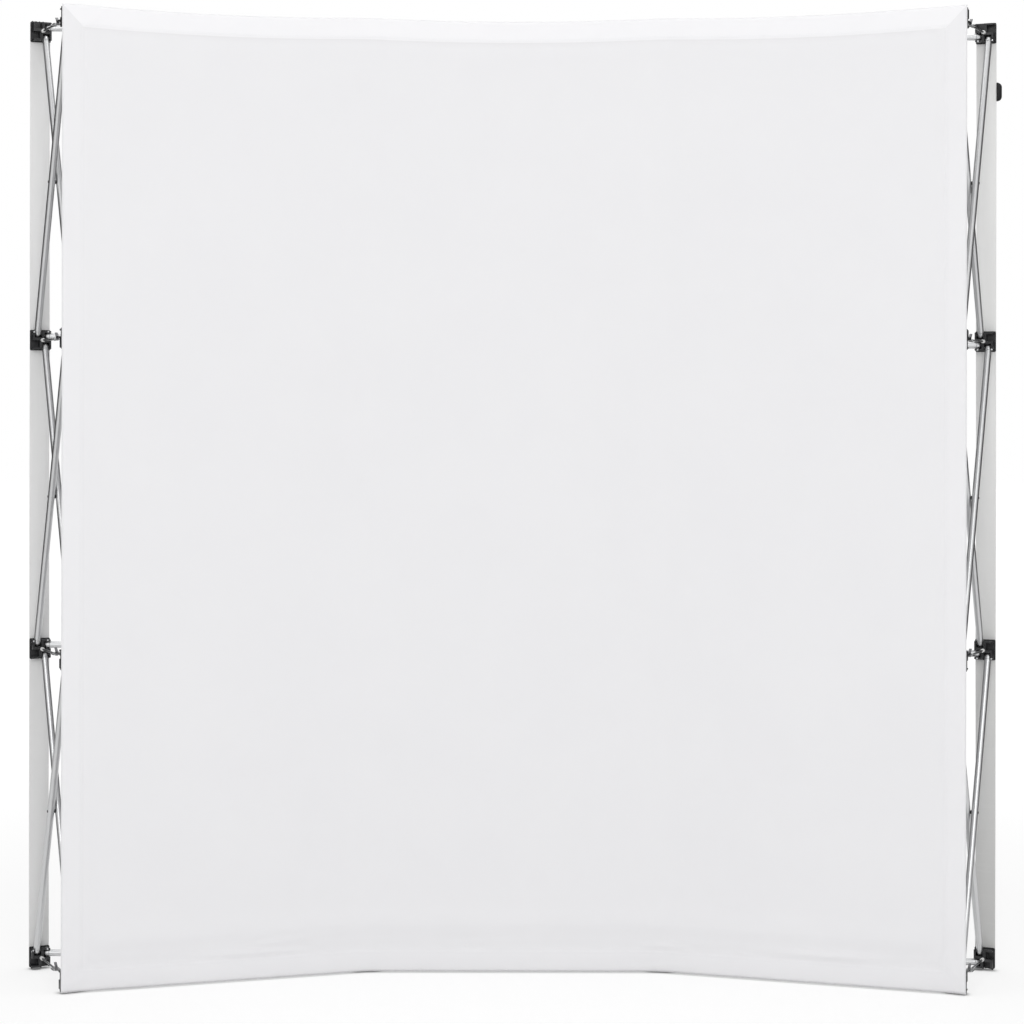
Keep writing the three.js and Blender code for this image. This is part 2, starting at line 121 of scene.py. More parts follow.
X_AXIS, Z_AXIS = Vector((1, 0, 0)), Vector((0, 0, 1))
FACING_IN = Matrix.Rotation(math.pi / 2, 4, "X")  # turns z to -y
SIDEWAYS = Matrix.Rotation(math.pi / 2, 4, "Y")  # turns z to x


# Places on the curve.
def column_angle(column):
    return (2 * column - COLUMNS + 1) * HALF_TURN


def row_height(row):
    return LOWEST_ROW + row * ROW_PITCH


def on_curve(angle, radius, z, turned=False):
    """x along the curve to the viewer's right and y away from the viewer, or both turned round."""
    place = Matrix.Translation((0, CURVE_CENTRE_Y, 0)) @ Matrix.Rotation(-angle, 4, "Z")
    place = place @ Matrix.Translation((0, radius, z))
    return place @ Matrix.Rotation(math.pi, 4, "Z") if turned else place


def hub_place(side, column, row):
    radius = FRONT_RADIUS if side == "front" else REAR_RADIUS
    return on_curve(column_angle(column), radius, row_height(row), side == "front")


def every_hub():
    for row in range(ROWS):
        for column in range(COLUMNS):
            for side in ("front", "rear"):
                yield side, column, row


def every_spot():
    """Every column and row, and how the names of the pieces there end."""
    for column in range(COLUMNS):
        for row in range(ROWS):
            yield column, row, f"row{row + 1}_column{column + 1}"


def used_slots(side, column, row):
    """Up, right, down and left, in the hub's own frame."""
    right, left = column + 1 < COLUMNS, column > 0
    east, west = (right, left) if side == "rear" else (left, right)
    return row + 1 < ROWS, east, row > 0, west


# Nodes.
def node(tree, kind, wires=None, **settings):
    made = tree.nodes.new(kind)
    for key, value in settings.items():
        setattr(made, key, value)
    for key, value in (wires or {}).items():
        if isinstance(value, bpy.types.NodeSocket):
            tree.links.new(value, made.inputs[key])
        else:
            made.inputs[key].default_value = value
    return made


def maths(tree, operation, *values):
    wires = dict(enumerate(values))
    return node(tree, "ShaderNodeMath", wires, operation=operation).outputs[0]


def spread(tree, value, low, high, start=0.0, end=1.0):
    """value from start to end, laid out from low to high."""
    wires = {"Value": value, "From Min": start, "From Max": end, "To Min": low, "To Max": high}
    return node(tree, "ShaderNodeMapRange", wires).outputs[0]


def blend_colours(tree, share, first, second):
    made = node(tree, "ShaderNodeMix", {0: share}, data_type="RGBA")
    for socket, colour in ((made.inputs[6], first), (made.inputs[7], second)):
        if isinstance(colour, bpy.types.NodeSocket):
            tree.links.new(colour, socket)
        else:
            socket.default_value = (*colour, 1)
    return made.outputs[2]


def noise_of(tree, coordinates, size, detail, roughness=0.5):
    """Noise with features of about that size, in metres."""
    wires = {"Vector": coordinates, "Scale": 1 / size, "Detail": detail, "Roughness": roughness}
    return node(tree, "ShaderNodeTexNoise", wires).outputs[0]


def stretched(tree, coordinates, scale):
    wires = {"Vector": coordinates, "Scale": scale}
    return node(tree, "ShaderNodeMapping", wires).outputs[0]


def bumped(tree, height, distance, strength, under=None):
    wires = {"Height": height, "Distance": distance, "Strength": strength}
    if under is not None:
        wires["Normal"] = under
    return node(tree, "ShaderNodeBump", wires).outputs[0]


def parts_of(tree, vector):
    return node(tree, "ShaderNodeSeparateXYZ", {0: vector}).outputs


def empty_tree(owner):
    """The node tree of a material or a world, with nothing in it."""
    owner.use_nodes = True
    owner.node_tree.nodes.clear()
    return owner.node_tree


def finish_of(name, **fixed):
    """A new material and its shader, whose fixed values are set on the shader's own sockets."""
    material = bpy.data.materials.new(name)
    tree = empty_tree(material)
    values = {key.replace("_", " "): value for key, value in fixed.items()}
    shader = node(tree, "ShaderNodeBsdfPrincipled", values)
    node(tree, "ShaderNodeOutputMaterial", {"Surface": shader.outputs[0]})
    return material, tree, shader


def coat(tree, shader, colour, roughness, normal=None):
    """Wires a colour, a roughness and perhaps a relief into a shader."""
    for label, value in (("Base Color", colour), ("Roughness", roughness), ("Normal", normal)):
        if value is not None:
            tree.links.new(value, shader.inputs[label])


def object_coordinates(tree):
    return node(tree, "ShaderNodeTexCoord").outputs["Object"]


def uv_coordinates(tree):
    return node(tree, "ShaderNodeTexCoord").outputs["UV"]


# Finishes.
def satin_aluminium():
    """Drawn and clear anodised tube: fine lines along it, faint cloudy handling marks."""
    material, tree, shader = finish_of("satin_aluminium", Metallic=0.92)
    surface = uv_coordinates(tree)
    lines = noise_of(tree, stretched(tree, surface, (1, 0.012, 1)), 0.0006, 4)
    clouds = noise_of(tree, object_coordinates(tree), 0.055, 4, 0.6)
    colour = blend_colours(tree, clouds, (0.57, 0.575, 0.58), (0.66, 0.665, 0.67))
    streaks = spread(tree, lines, 0.0, 0.30, 0.35, 0.75)
    streaked = blend_colours(tree, streaks, colour, (0.43, 0.435, 0.445))
    rough = maths(tree, "ADD", spread(tree, lines, 0.29, 0.39), spread(tree, clouds, -0.03, 0.06))
    coat(tree, shader, streaked, rough, bumped(tree, lines, 0.00003, 0.6))
    return material


def black_nylon(name, moulded, worn, gloss):
    """Moulded plastic: fine spark-eroded grain, slightly greyer where hands rub it."""
    material, tree, shader = finish_of(name, Specular_IOR_Level=gloss)
    place = object_coordinates(tree)
    grain = noise_of(tree, place, 0.0007, 3)
    rubbed = noise_of(tree, place, 0.016, 4, 0.65)
    wear = spread(tree, rubbed, 0, 1, 0.4, 0.75)
    colour = blend_colours(tree, wear, moulded, worn)
    rough = maths(tree, "ADD", spread(tree, rubbed, 0.52, 0.36), spread(tree, grain, -0.05, 0.05))
    coat(tree, shader, colour, rough, bumped(tree, grain, 0.00012, 0.5))
    return material


def plated_steel(name, bright, dull, rough_low, rough_high):
    """Zinc-plated wire and flat steel: cloudy plating with fine scratches."""
    material, tree, shader = finish_of(name, Metallic=0.9)
    place = object_coordinates(tree)
    clouds = noise_of(tree, place, 0.009, 4, 0.6)
    scratches = noise_of(tree, stretched(tree, place, (1, 0.15, 0.4)), 0.0008, 4)
    worn = maths(tree, "MULTIPLY", clouds, scratches)
    rough = spread(tree, worn, rough_low, rough_high, 0.1, 0.4)
    colour = blend_colours(tree, clouds, dull, bright)
    coat(tree, shader, colour, rough, bumped(tree, scratches, 0.00004, 0.5))
    return material


def knit_height(tree, surface):
    """Fine warp knit: narrow upright ribs of small stitches."""
    parts = parts_of(tree, surface)
    across = maths(tree, "SINE", maths(tree, "MULTIPLY", parts[0], 2 * math.pi / STITCH_WIDTH))
    up = maths(tree, "MULTIPLY", parts[1], 2 * math.pi / STITCH_HEIGHT)
    shifted = maths(tree, "ADD", up, across)
    return maths(tree, "MULTIPLY", across, maths(tree, "SINE", shifted))


def in_top_hem(tree, surface):
    """1 where the top edge is nearer than either side edge, so that the hems meet in mitres."""
    parts = parts_of(tree, surface)
    side = maths(tree, "MINIMUM", parts[0], maths(tree, "SUBTRACT", CLOTH_WIDTH, parts[0]))
    top = maths(tree, "SUBTRACT", CLOTH_HEIGHT, parts[1])
    return maths(tree, "GREATER_THAN", side, top)


def white_knit(name, colour, cloud, lit_top_hem=None):
    """Stretch polyester: matt, softly mottled, with a little sheen. Its top hem may be paler:
    doubled cloth, with painted light from above on it.
    """
    material, tree, shader = finish_of(
        name, Sheen_Weight=0.06, Sheen_Roughness=0.5, Specular_IOR_Level=0.18
    )
    surface = uv_coordinates(tree)
    mottle = noise_of(tree, surface, 0.21, 3, 0.45)
    fibres = noise_of(tree, stretched(tree, surface, (1, 0.2, 1)), 0.0011, 2)
    patches = spread(tree, mottle, 0, 0.75, 0.3, 0.7)
    share = maths(tree, "ADD", patches, spread(tree, fibres, 0, 0.25))
    mottled = blend_colours(tree, share, cloud, colour)
    # Partly doubled cloth, partly painted light from above: the top hem is paler.
    if lit_top_hem:
        paler_lit_hem = blend_colours(tree, share, *lit_top_hem)
        mottled = blend_colours(tree, in_top_hem(tree, surface), mottled, paler_lit_hem)
    woven = bumped(tree, knit_height(tree, surface), KNIT_HEIGHT, 0.3)
    relief = bumped(tree, fibres, 0.00008, 0.25, woven)
    coat(tree, shader, mottled, spread(tree, fibres, 0.82, 0.94), relief)
    return material


def brushed_loop_tape():
    """Loop tape: a dense, slightly yellower pile."""
    material, tree, shader = finish_of("brushed_loop_tape", Sheen_Weight=0.15, Sheen_Roughness=0.6)
    place = object_coordinates(tree)
    pile = noise_of(tree, place, 0.0009, 5, 0.7)
    patches = noise_of(tree, place, 0.012, 3)
    colour = blend_colours(tree, pile, (0.62, 0.62, 0.61), (0.82, 0.82, 0.80))
    toned = blend_colours(tree, spread(tree, patches, 0, 0.4), colour, (0.70, 0.70, 0.69))
    coat(tree, shader, toned, spread(tree, pile, 0.85, 0.98), bumped(tree, pile, 0.0006, 0.8))
    return material


def hook_tape():
    """Black hook tape: rows of stiff little hooks."""
    material, tree, shader = finish_of("hook_tape", Specular_IOR_Level=0.35)
    place = object_coordinates(tree)
    hooks = node(tree, "ShaderNodeTexVoronoi", {"Vector": place, "Scale": 1 / 0.0013}).outputs[0]
    colour = blend_colours(tree, hooks, (0.035, 0.035, 0.038), (0.008, 0.008, 0.009))
    relief = bumped(tree, maths(tree, "SUBTRACT", 1.0, hooks), 0.0008, 0.9)
    coat(tree, shader, colour, spread(tree, hooks, 0.45, 0.8), relief)
    return material


def pale_strip(name, pale, deep, foot):
    """Flexible pale grey strip: satin, a soft length-wise flow, and painted shade that greys it
    towards its foot.
    """
    material, tree, shader = finish_of(name, Specular_IOR_Level=0.3)
    place = object_coordinates(tree)
    flow = noise_of(tree, stretched(tree, place, (1, 1, 0.08)), 0.02, 3)
    marks = noise_of(tree, stretched(tree, place, (0.05, 0.05, 1)), 0.006, 2)
    grain = noise_of(tree, place, 0.0006, 2)
    colour = blend_colours(tree, spread(tree, flow, 0, 1, 0.3, 0.7), deep, pale)
    # Painted shade: lower down, the colour greys towards the foot colour.
    height = parts_of(tree, place)[2]
    foot_shaded = blend_colours(tree, spread(tree, height, 1, 0, 0.2, 1.3), colour, foot)
    marked = blend_colours(tree, spread(tree, marks, 0, 0.12, 0.55, 0.8), foot_shaded, pale)
    relief = bumped(tree, grain, 0.00006, 0.3, bumped(tree, marks, 0.0004, 0.25))
    coat(tree, shader, marked, spread(tree, flow, 0.48, 0.62), relief)
    return material


def natural_nylon():
    """Uncoloured moulded nylon: milky, with a faint flow and a soft shine."""
    material, tree, shader = finish_of("natural_nylon", Specular_IOR_Level=0.45)
    place = object_coordinates(tree)
    flow = noise_of(tree, stretched(tree, place, (1, 0.4, 1)), 0.004, 3)
    colour = blend_colours(tree, flow, (0.78, 0.78, 0.77), (0.88, 0.88, 0.87))
    coat(tree, shader, colour, spread(tree, flow, 0.34, 0.48), bumped(tree, flow, 0.00008, 0.4))
    return material


def white_thread():
    material, tree, shader = finish_of("white_thread", Sheen_Weight=0.1)
    twist = noise_of(tree, object_coordinates(tree), 0.0005, 2)
    colour = blend_colours(tree, twist, (0.72, 0.72, 0.74), (0.88, 0.88, 0.90))
    coat(tree, shader, colour, spread(tree, twist, 0.6, 0.85))
    return material


ALUMINIUM = satin_aluminium()
NYLON = black_nylon("black_nylon", (0.014, 0.0145, 0.016), (0.034, 0.034, 0.036), 0.5)
CLIP_NYLON = black_nylon("black_nylon_clip", (0.004, 0.004, 0.005), (0.012, 0.012, 0.013), 0.25)
BRIGHT_STEEL = plated_steel(
    "bright_zinc_steel", (0.82, 0.83, 0.84), (0.66, 0.67, 0.68), 0.18, 0.34
)
GREY_STEEL = plated_steel(
    "grey_zinc_steel", (0.44, 0.445, 0.45), (0.27, 0.275, 0.28), 0.22, 0.38
)
DARK_STEEL = plated_steel(
    "dark_plated_steel", (0.17, 0.17, 0.175), (0.09, 0.09, 0.095), 0.28, 0.44
)
LOOP_TAPE = brushed_loop_tape()
HOOK_TAPE = hook_tape()
# The last colour of each strip is painted shade at its foot; the right strip's is much darker.
LEFT_PALE = pale_strip(
    "pale_strip", (0.86, 0.86, 0.855), (0.82, 0.82, 0.815), (0.80, 0.80, 0.795)
)
RIGHT_PALE = pale_strip(
    "pale_strip_painted_shade", (0.885, 0.885, 0.875), (0.85, 0.85, 0.84), (0.64, 0.64, 0.63)
)
THREAD = white_thread()
WHITE_NYLON = natural_nylon()


# Mesh making.
SMOOTH_ANGLE = math.radians(32)
CORNER_STEPS = 4
WIRE_SIDES = 16


def shade(mesh):
    mesh.polygons.foreach_set("use_smooth", [True] * len(mesh.polygons))
    mesh.set_sharp_from_angle(angle=SMOOTH_ANGLE)


def drawn_mesh(points, edges=(), faces=()):
    mesh = bpy.data.meshes.new("drawn")
    mesh.from_pydata(points, edges, faces)
    return mesh


def grid_mesh(rows):
    """A single layer of faces over rows of points, all of them as long."""
    wide = len(rows[0])
    starts = [j * wide + i for j in range(len(rows) - 1) for i in range(wide - 1)]
    faces = [(k, k + 1, k + 1 + wide, k + wide) for k in starts]
    return drawn_mesh([point for row in rows for point in row], faces=faces)


def mesh_of(shape):
    """A bmesh's mesh, after which the bmesh is gone."""
    mesh = bpy.data.meshes.new("shape")
    shape.to_mesh(mesh)
    shape.free()
    return mesh


def new_object(name, mesh):
    made = bpy.data.objects.new(name, mesh)
    bpy.context.scene.collection.objects.link(made)
    return made


def piece(name, shape, finishes, body="frame", nodes=()):
    """A bmesh or a mesh as a finished piece that rides on a body, and the nodes it stands for."""
    mesh = mesh_of(shape) if isinstance(shape, bmesh.types.BMesh) else shape
    mesh.name = name
    mesh.materials.clear()
    for finish in finishes:
        mesh.materials.append(finish)
    shade(mesh)
    made = new_object(name, mesh)
    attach(made, body)
    if nodes:
        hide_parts(*nodes)
    return made


def bevelled(obj, width, segments=2):
    made = obj.modifiers.new("rounding", "BEVEL")
    made.width = width
    made.segments = segments
    made.limit_method = "ANGLE"
    made.angle_limit = math.radians(40)
    made.harden_normals = True
    return obj


def evaluated_mesh(obj):
    """The object's mesh with its modifiers applied, after which the object is gone."""
    depsgraph = bpy.context.evaluated_depsgraph_get()
    mesh = bpy.data.meshes.new_from_object(obj.evaluated_get(depsgraph))
    bpy.data.objects.remove(obj)
    return mesh


def rounded_mesh(shape, width):
    """The shape's mesh with its hard edges rounded."""
    return evaluated_mesh(bevelled(new_object("rounding", mesh_of(shape)), width))


def arc(x, y, radius, start, end, steps):
    """Points on a circle about (x, y), angles in degrees."""
    angles = (math.radians(start + (end - start) * k / steps) for k in range(steps + 1))
    return [(x + radius * math.cos(a), y + radius * math.sin(a)) for a in angles]


def rounded_rectangle(half_width, half_height, radius):
    w, h = half_width - radius, half_height - radius
    corners = ((w, h, 0), (-w, h, 90), (-w, -h, 180), (w, -h, 270))
    return [p for x, y, a in corners for p in arc(x, y, radius, a, a + 90, CORNER_STEPS)]


def box_outline(x0, x1, y0, y1):
    return [(x0, y0), (x1, y0), (x1, y1), (x0, y1)]


def ring(x, y, radius, sides):
    return arc(x, y, radius, 0, 360 - 360 / sides, sides - 1)


def prism(outline, depth, turn, holes):
    """An outline of (x, y) points drawn out along z from 0 to depth, then turned by a matrix."""
    shape = bmesh.new()
    edges = []
    for loop in (outline, *holes):
        verts = [shape.verts.new((x, y, 0)) for x, y in loop]
        edges += [shape.edges.new((verts[k - 1], verts[k])) for k in range(len(verts))]
    bmesh.ops.triangle_fill(shape, edges=edges, use_beauty=True)
    bmesh.ops.dissolve_limit(shape, angle_limit=0.01, verts=shape.verts, edges=shape.edges)
    drawn = bmesh.ops.extrude_face_region(shape, geom=shape.faces[:])
    lifted = [v for v in drawn["geom"] if isinstance(v, bmesh.types.BMVert)]
    bmesh.ops.translate(shape, vec=(0, 0, depth), verts=lifted)
    bmesh.ops.recalc_face_normals(shape, faces=shape.faces)
    shape.transform(turn)
    return shape


def merged(*shapes):
    """Several closed shapes in one bmesh."""
    whole = bmesh.new()
    for shape in shapes:
        part = mesh_of(shape)
        whole.from_mesh(part)
        bpy.data.meshes.remove(part)
    return whole


def lathe(profile, sides, closed=False):
    """A profile of (radius, z) points spun about z, with uv in metres round and along it."""
    shape = bmesh.new()
    layer = shape.loops.layers.uv.new("UVMap")
    rings = []
    for radius, z in profile:
        if radius == 0:
            rings.append([shape.verts.new((0, 0, z))] * sides)
        else:
            angles = (2 * math.pi * k / sides for k in range(sides))
            spots = [(radius * math.cos(a), radius * math.sin(a), z) for a in angles]
            rings.append([shape.verts.new(spot) for spot in spots])
    lengths = [0.0]
    for (r0, z0), (r1, z1) in zip(profile, profile[1:] + profile[:1]):
        lengths.append(lengths[-1] + math.hypot(r1 - r0, z1 - z0))
    girth = 2 * math.pi * max(r for r, _ in profile)
    for k in range(len(rings) if closed else len(rings) - 1):
        low, high = rings[k], rings[(k + 1) % len(rings)]
        for s in range(sides):
            t = (s + 1) % sides
            corners = [(low[s], s, k), (low[t], s + 1, k)]
            corners += [(high[t], s + 1, k + 1), (high[s], s, k + 1)]
            kept = []
            for corner in corners:
                if corner[0] not in [c[0] for c in kept]:
                    kept.append(corner)
            face = shape.faces.new([c[0] for c in kept])
            for loop, (_, step, level) in zip(face.loops, kept):
                loop[layer].uv = (girth * step / sides, lengths[level])
    return shape


def copied(shape, place):
    made = shape.copy()
    made.transform(place)
    return made


def aligned(start, along, across):
    """A frame at start with z along a direction and x across it."""
    z = along.normalized()
    x = (across - across.dot(z) * z).normalized()
    turn = Matrix((x, z.cross(x), z)).transposed().to_4x4()
    return Matrix.Translation(start) @ turn


# Geometry Nodes.
def new_tree(name, inputs):
    """A tree whose inputs are (name, kind, default), and its input and output nodes."""
    tree = bpy.data.node_groups.new(name, "GeometryNodeTree")
    tree.interface.new_socket("Geometry", in_out="INPUT", socket_type="NodeSocketGeometry")
    tree.interface.new_socket("Geometry", in_out="OUTPUT", socket_type="NodeSocketGeometry")
    for label, kind, default in inputs:
        socket = tree.interface.new_socket(label, in_out="INPUT", socket_type=kind)
        if default is not None:
            socket.default_value = default
    return tree, node(tree, "NodeGroupInput").outputs


def close_tree(tree, geometry, material):
    real = node(tree, "GeometryNodeRealizeInstances", {0: geometry}).outputs[0]
    wires = {"Geometry": real, "Material": material}
    finished = node(tree, "GeometryNodeSetMaterial", wires).outputs[0]
    node(tree, "NodeGroupOutput", {0: finished})
    return tree


def vector_attribute(tree, name):
    made = node(tree, "GeometryNodeInputNamedAttribute", {"Name": name}, data_type="FLOAT_VECTOR")
    return made.outputs[0]


def turned_copies(tree, points, copy, z_way, x_way):
    """A copy of an object on each point, its z and its x along two directions."""
    source = node(tree, "GeometryNodeObjectInfo", {"Object": copy}).outputs["Geometry"]
    wires = {0: z_way, 1: x_way}
    turn = node(tree, "FunctionNodeAxesToRotation", wires, primary_axis="Z", secondary_axis="X")
    wires = {"Points": points, "Instance": source, "Rotation": turn.outputs[0]}
    return node(tree, "GeometryNodeInstanceOnPoints", wires).outputs[0]


def copies_tree():
    """Copies of a piece on points, each with its z along one attribute and x along another."""
    inputs = [("Piece", "NodeSocketObject", None), ("Finish", "NodeSocketMaterial", None)]
    tree, given = new_tree("copies_on_points", inputs)
    ways = vector_attribute(tree, "along"), vector_attribute(tree, "across")
    copies = turned_copies(tree, given["Geometry"], given["Piece"], *ways)
    return close_tree(tree, copies, given["Finish"])


def wire_tree():
    """Round wire along a mesh's edges, with its corners bent to a radius."""
    inputs = [
        ("Wire radius", "NodeSocketFloat", 0.002),
        ("Bend radius", "NodeSocketFloat", 0.003),
        ("Sides", "NodeSocketInt", WIRE_SIDES),
        ("Finish", "NodeSocketMaterial", None),
    ]
    tree, given = new_tree("bent_wire", inputs)
    path = node(tree, "GeometryNodeMeshToCurve", {0: given["Geometry"]}).outputs[0]
    wires = {"Curve": path, "Count": 6, "Radius": given["Bend radius"], "Limit Radius": True}
    bent = node(tree, "GeometryNodeFilletCurve", wires, mode="POLY").outputs[0]
    wires = {"Resolution": given["Sides"], "Radius": given["Wire radius"]}
    section = node(tree, "GeometryNodeCurvePrimitiveCircle", wires).outputs[0]
    wires = {"Curve": bent, "Profile Curve": section, "Fill Caps": True}
    wire = node(tree, "GeometryNodeCurveToMesh", wires).outputs[0]
    return close_tree(tree, wire, given["Finish"])


def stitch_tree():
    """A stitch every pitch along a mesh's edges, lying along them and facing off the cloth."""
    inputs = [
        ("Stitch", "NodeSocketObject", None),
        ("Pitch", "NodeSocketFloat", STITCH_PITCH),
        ("Finish", "NodeSocketMaterial", None),
    ]
    tree, given = new_tree("sewn_row", inputs)
    path = node(tree, "GeometryNodeMeshToCurve", {0: given["Geometry"]}).outputs[0]
    wires = {"Curve": path, "Length": given["Pitch"]}
    spaced = node(tree, "GeometryNodeResampleCurve", wires, mode="LENGTH").outputs[0]
    points = node(tree, "GeometryNodeCurveToPoints", {"Curve": spaced}, mode="EVALUATED")
    ways = vector_attribute(tree, "off"), points.outputs["Tangent"]
    stitches = turned_copies(tree, points.outputs[0], given["Stitch"], *ways)
    return close_tree(tree, stitches, given["Finish"])


def grown(tree, mesh, settings):
    """What the tree makes of a mesh, with its named inputs set."""
    obj = new_object("growing", mesh)
    modifier = obj.modifiers.new("nodes", "NODES")
    modifier.node_group = tree
    for item in tree.interface.items_tree:
        if item.in_out == "INPUT" and item.name in settings:
            modifier[item.identifier] = settings[item.name]
    return evaluated_mesh(obj)


def points_mesh(points, edges=(), **vectors):
    """Points and perhaps edges, with vector attributes."""
    mesh = drawn_mesh(points, edges)
    for name, values in vectors.items():
        layer = mesh.attributes.new(name, "FLOAT_VECTOR", "POINT")
        layer.data.foreach_set("vector", [c for v in values for c in v])
    return mesh


COPIES = copies_tree()
WIRE = wire_tree()
SEWN = stitch_tree()


def placed_copies(name, shape, finish, places):
    """One piece that holds a copy of a shape at each of several frames."""
    source = piece(name + "_one", shape, [finish])
    points = points_mesh(
        [m.to_translation() for m in places],
        along=[m.col[2].to_3d() for m in places],
        across=[m.col[0].to_3d() for m in places],
    )
    mesh = grown(COPIES, points, {"Piece": source, "Finish": finish})
    bpy.data.objects.remove(source)
    return piece(name, mesh, [finish])


def wire_piece(name, paths, radius, bend, place, finish):
    """Wire along open or closed runs of points; a run that ends where it starts is closed."""
    points, edges = [], []
    for path in paths:
        first = len(points)
        closed = path[0] == path[-1]
        run = path[:-1] if closed else path
        points += [place @ Vector(p) for p in run]
        edges += [(first + k, first + k + 1) for k in range(len(run) - 1)]
        if closed:
            edges.append((first + len(run) - 1, first))
    settings = {"Wire radius": radius, "Bend radius": bend, "Sides": WIRE_SIDES, "Finish": finish}
    return piece(name, grown(WIRE, drawn_mesh(points, edges), settings), [finish])


# Hubs, in a frame where y points out of the frame and the four pivots lie at y = 0.
# This turns x, y, z to x, -z, y.
FACING_Y = Matrix(((1, 0, 0, 0), (0, 0, -1, 0), (0, 1, 0, 0), (0, 0, 0, 1)))
STUD = 0.0021
STUD_SPOTS = ((-0.0192, 0.0190), (0.0150, 0.0196))  # in two corners of the block's inner face
BLOCK_CORNER = 0.0014  # cut off the block's corners
PLATE_CORNER = 0.003
BOSS_RADIUS = 0.0052
BOSS_HEIGHT = 0.0008
WELL_MIDDLE = 0.0092
WELL_HALF = 0.0078
WELL_CORNER = 0.002
WELL_DEPTH = 0.0016
RIB_PITCH = 0.0085
RIB_HEIGHT = 0.0012
RIB_WIDTH = 0.0036
FIN_PITCH = 0.0052
FIN_THICKNESS = 0.0009
FIN_HEIGHT = 0.0007
HUB_ROUNDING = 0.0006
PIN_HEAD = 0.0029
FOOT_PEG_SPOTS = (-0.004, 0.018)


def facing_y(low, high, outline, holes=()):
    """An outline of (x, z) points drawn out from y = low to y = high."""
    return prism(outline, high - low, Matrix.Translation((0, high, 0)) @ FACING_Y, holes)


def pinwheel():
    """The block's outline: a square with a slot in each side, each on the same hand."""
    half, cut = BLOCK_HALF, BLOCK_CORNER
    left, right = -TUBE_OFFSET - SLOT_WIDTH / 2, -TUBE_OFFSET + SLOT_WIDTH / 2
    quarter = [(-half, half - cut), (-half + cut, half), (left, half)]
    quarter += [(left, SLOT_START), (right, SLOT_START), (right, half)]
    points = []
    for turn in range(4):
        cos, sin = round(math.cos(turn * math.pi / 2)), round(math.sin(turn * math.pi / 2))
        points += [(x * cos + y * sin, y * cos - x * sin) for x, y in quarter]
    return points


def plate_wells():
    """The outlines of the four shallow wells in the plate's outer face, one in each quarter."""
    square = rounded_rectangle(WELL_HALF, WELL_HALF, WELL_CORNER)
    m = WELL_MIDDLE
    middles = ((m, m), (-m, m), (-m, -m), (m, -m))
    return [[(x + u, z + v) for u, v in square] for x, z in middles]


def hub_ribs():
    """Grip ribs over the plate's top edge, and thin fins across one corner of its inner face."""
    shapes = []
    half = RIB_WIDTH / 2
    low, high = PLATE_HALF - 0.0016, PLATE_HALF + RIB_HEIGHT
    for k in range(4):
        x = -BLOCK_HALF + 0.0022 + k * RIB_PITCH
        outline = [(x - half, low), (x + half, low), *arc(x, high - half, half, 0, 180, 6)]
        shapes.append(facing_y(PLATE_INNER + 0.0002, PLATE_OUTER - 0.0002, outline))
    for k in range(3):
        z = -BLOCK_HALF + 0.005 + k * FIN_PITCH
        outline = box_outline(-BLOCK_HALF + 0.0002, -SLOT_START - 0.001, z, z + FIN_THICKNESS)
        shapes.append(facing_y(PLATE_INNER - FIN_HEIGHT, PLATE_INNER + GAP, outline))
    return shapes


def hub_mesh(ribbed):
    """A hub's moulding: a slotted block with a low boss, and a plate with four shallow wells."""
    well_floor = PLATE_OUTER - WELL_DEPTH
    plate = rounded_rectangle(PLATE_HALF, PLATE_HALF, PLATE_CORNER)
    boss = ring(0, 0, BOSS_RADIUS, 24)
    shapes = [
        facing_y(-BLOCK_INWARD, PLATE_INNER + GAP, pinwheel()),
        facing_y(PLATE_INNER, well_floor, plate),
        facing_y(well_floor - GAP, PLATE_OUTER, plate, plate_wells()),
        facing_y(-BLOCK_INWARD - BOSS_HEIGHT, -BLOCK_INWARD + GAP, boss),
    ]
    if ribbed:
        shapes += hub_ribs()
    return rounded_mesh(merged(*shapes), HUB_ROUNDING)


def moved_mesh(mesh, place):
    made = mesh.copy()
    made.transform(place)
    return made


def hub_trim_turn(column):
    """Hubs on the left are mounted upright, and those on the right upside down."""
    return Matrix.Rotation(math.pi if column >= COLUMNS / 2 else 0, 4, "Y")


def hub_nodes(side, column, row):
    if 0 < column < COLUMNS - 1:
        return [f"centre_bay_row{row + 1}"]
    return [f"{side}_hub_row{row + 1}_column{column + 1}"]


def make_hubs():
    """The hubs, and two bright studs in the corners of each one that has no ribs."""
    plain, ribbed = hub_mesh(False), hub_mesh(True)
    studs = []
    for side, column, row in every_hub():
        has_ribs = (column, row) in ((0, ROWS - 1), (COLUMNS - 1, 0))
        place = hub_place(side, column, row) @ hub_trim_turn(column)
        if not has_ribs:
            for x, z in STUD_SPOTS:
                spot = Matrix.Translation((x, -BLOCK_INWARD, z)) @ FACING_IN
                studs.append(place @ spot)
        mesh = moved_mesh(ribbed if has_ribs else plain, place)
        name = f"hub_{side}_row{row + 1}_column{column + 1}"
        piece(name, mesh, [NYLON], nodes=hub_nodes(side, column, row))
    bpy.data.meshes.remove(plain)
    bpy.data.meshes.remove(ribbed)
    head = [(0, -0.0010), (STUD, -0.0010), (STUD, 0.0003), (STUD * 0.7, 0.0008), (0, 0.0009)]
    placed_copies("hub_studs", lathe(head, 16), BRIGHT_STEEL, studs)


def pin_shape():
    """A pivot pin with a low domed head, lying along z about its middle."""
    half = SLOT_WIDTH / 2 + 0.0036
    profile = [(0, -half - 0.0009), (PIN_HEAD * 0.7, -half - 0.0007), (PIN_HEAD, -half)]
    profile += [(PIN_RADIUS, -half), (PIN_RADIUS, half)]
    profile += [(PIN_RADIUS * 0.75, half + 0.0004), (0, half + 0.0004)]
    return lathe(profile, 16)


def make_pins():
    places = []
    spot = Matrix.Translation((-TUBE_OFFSET, 0, PIVOT_REACH))
    for side, column, row in every_hub():
        for quarter, used in enumerate(used_slots(side, column, row)):
            if used:
                turn = Matrix.Rotation(quarter * math.pi / 2, 4, "Y")
                places.append(hub_place(side, column, row) @ turn @ spot @ SIDEWAYS)
    placed_copies("pivot_pins", pin_shape(), BRIGHT_STEEL, places)


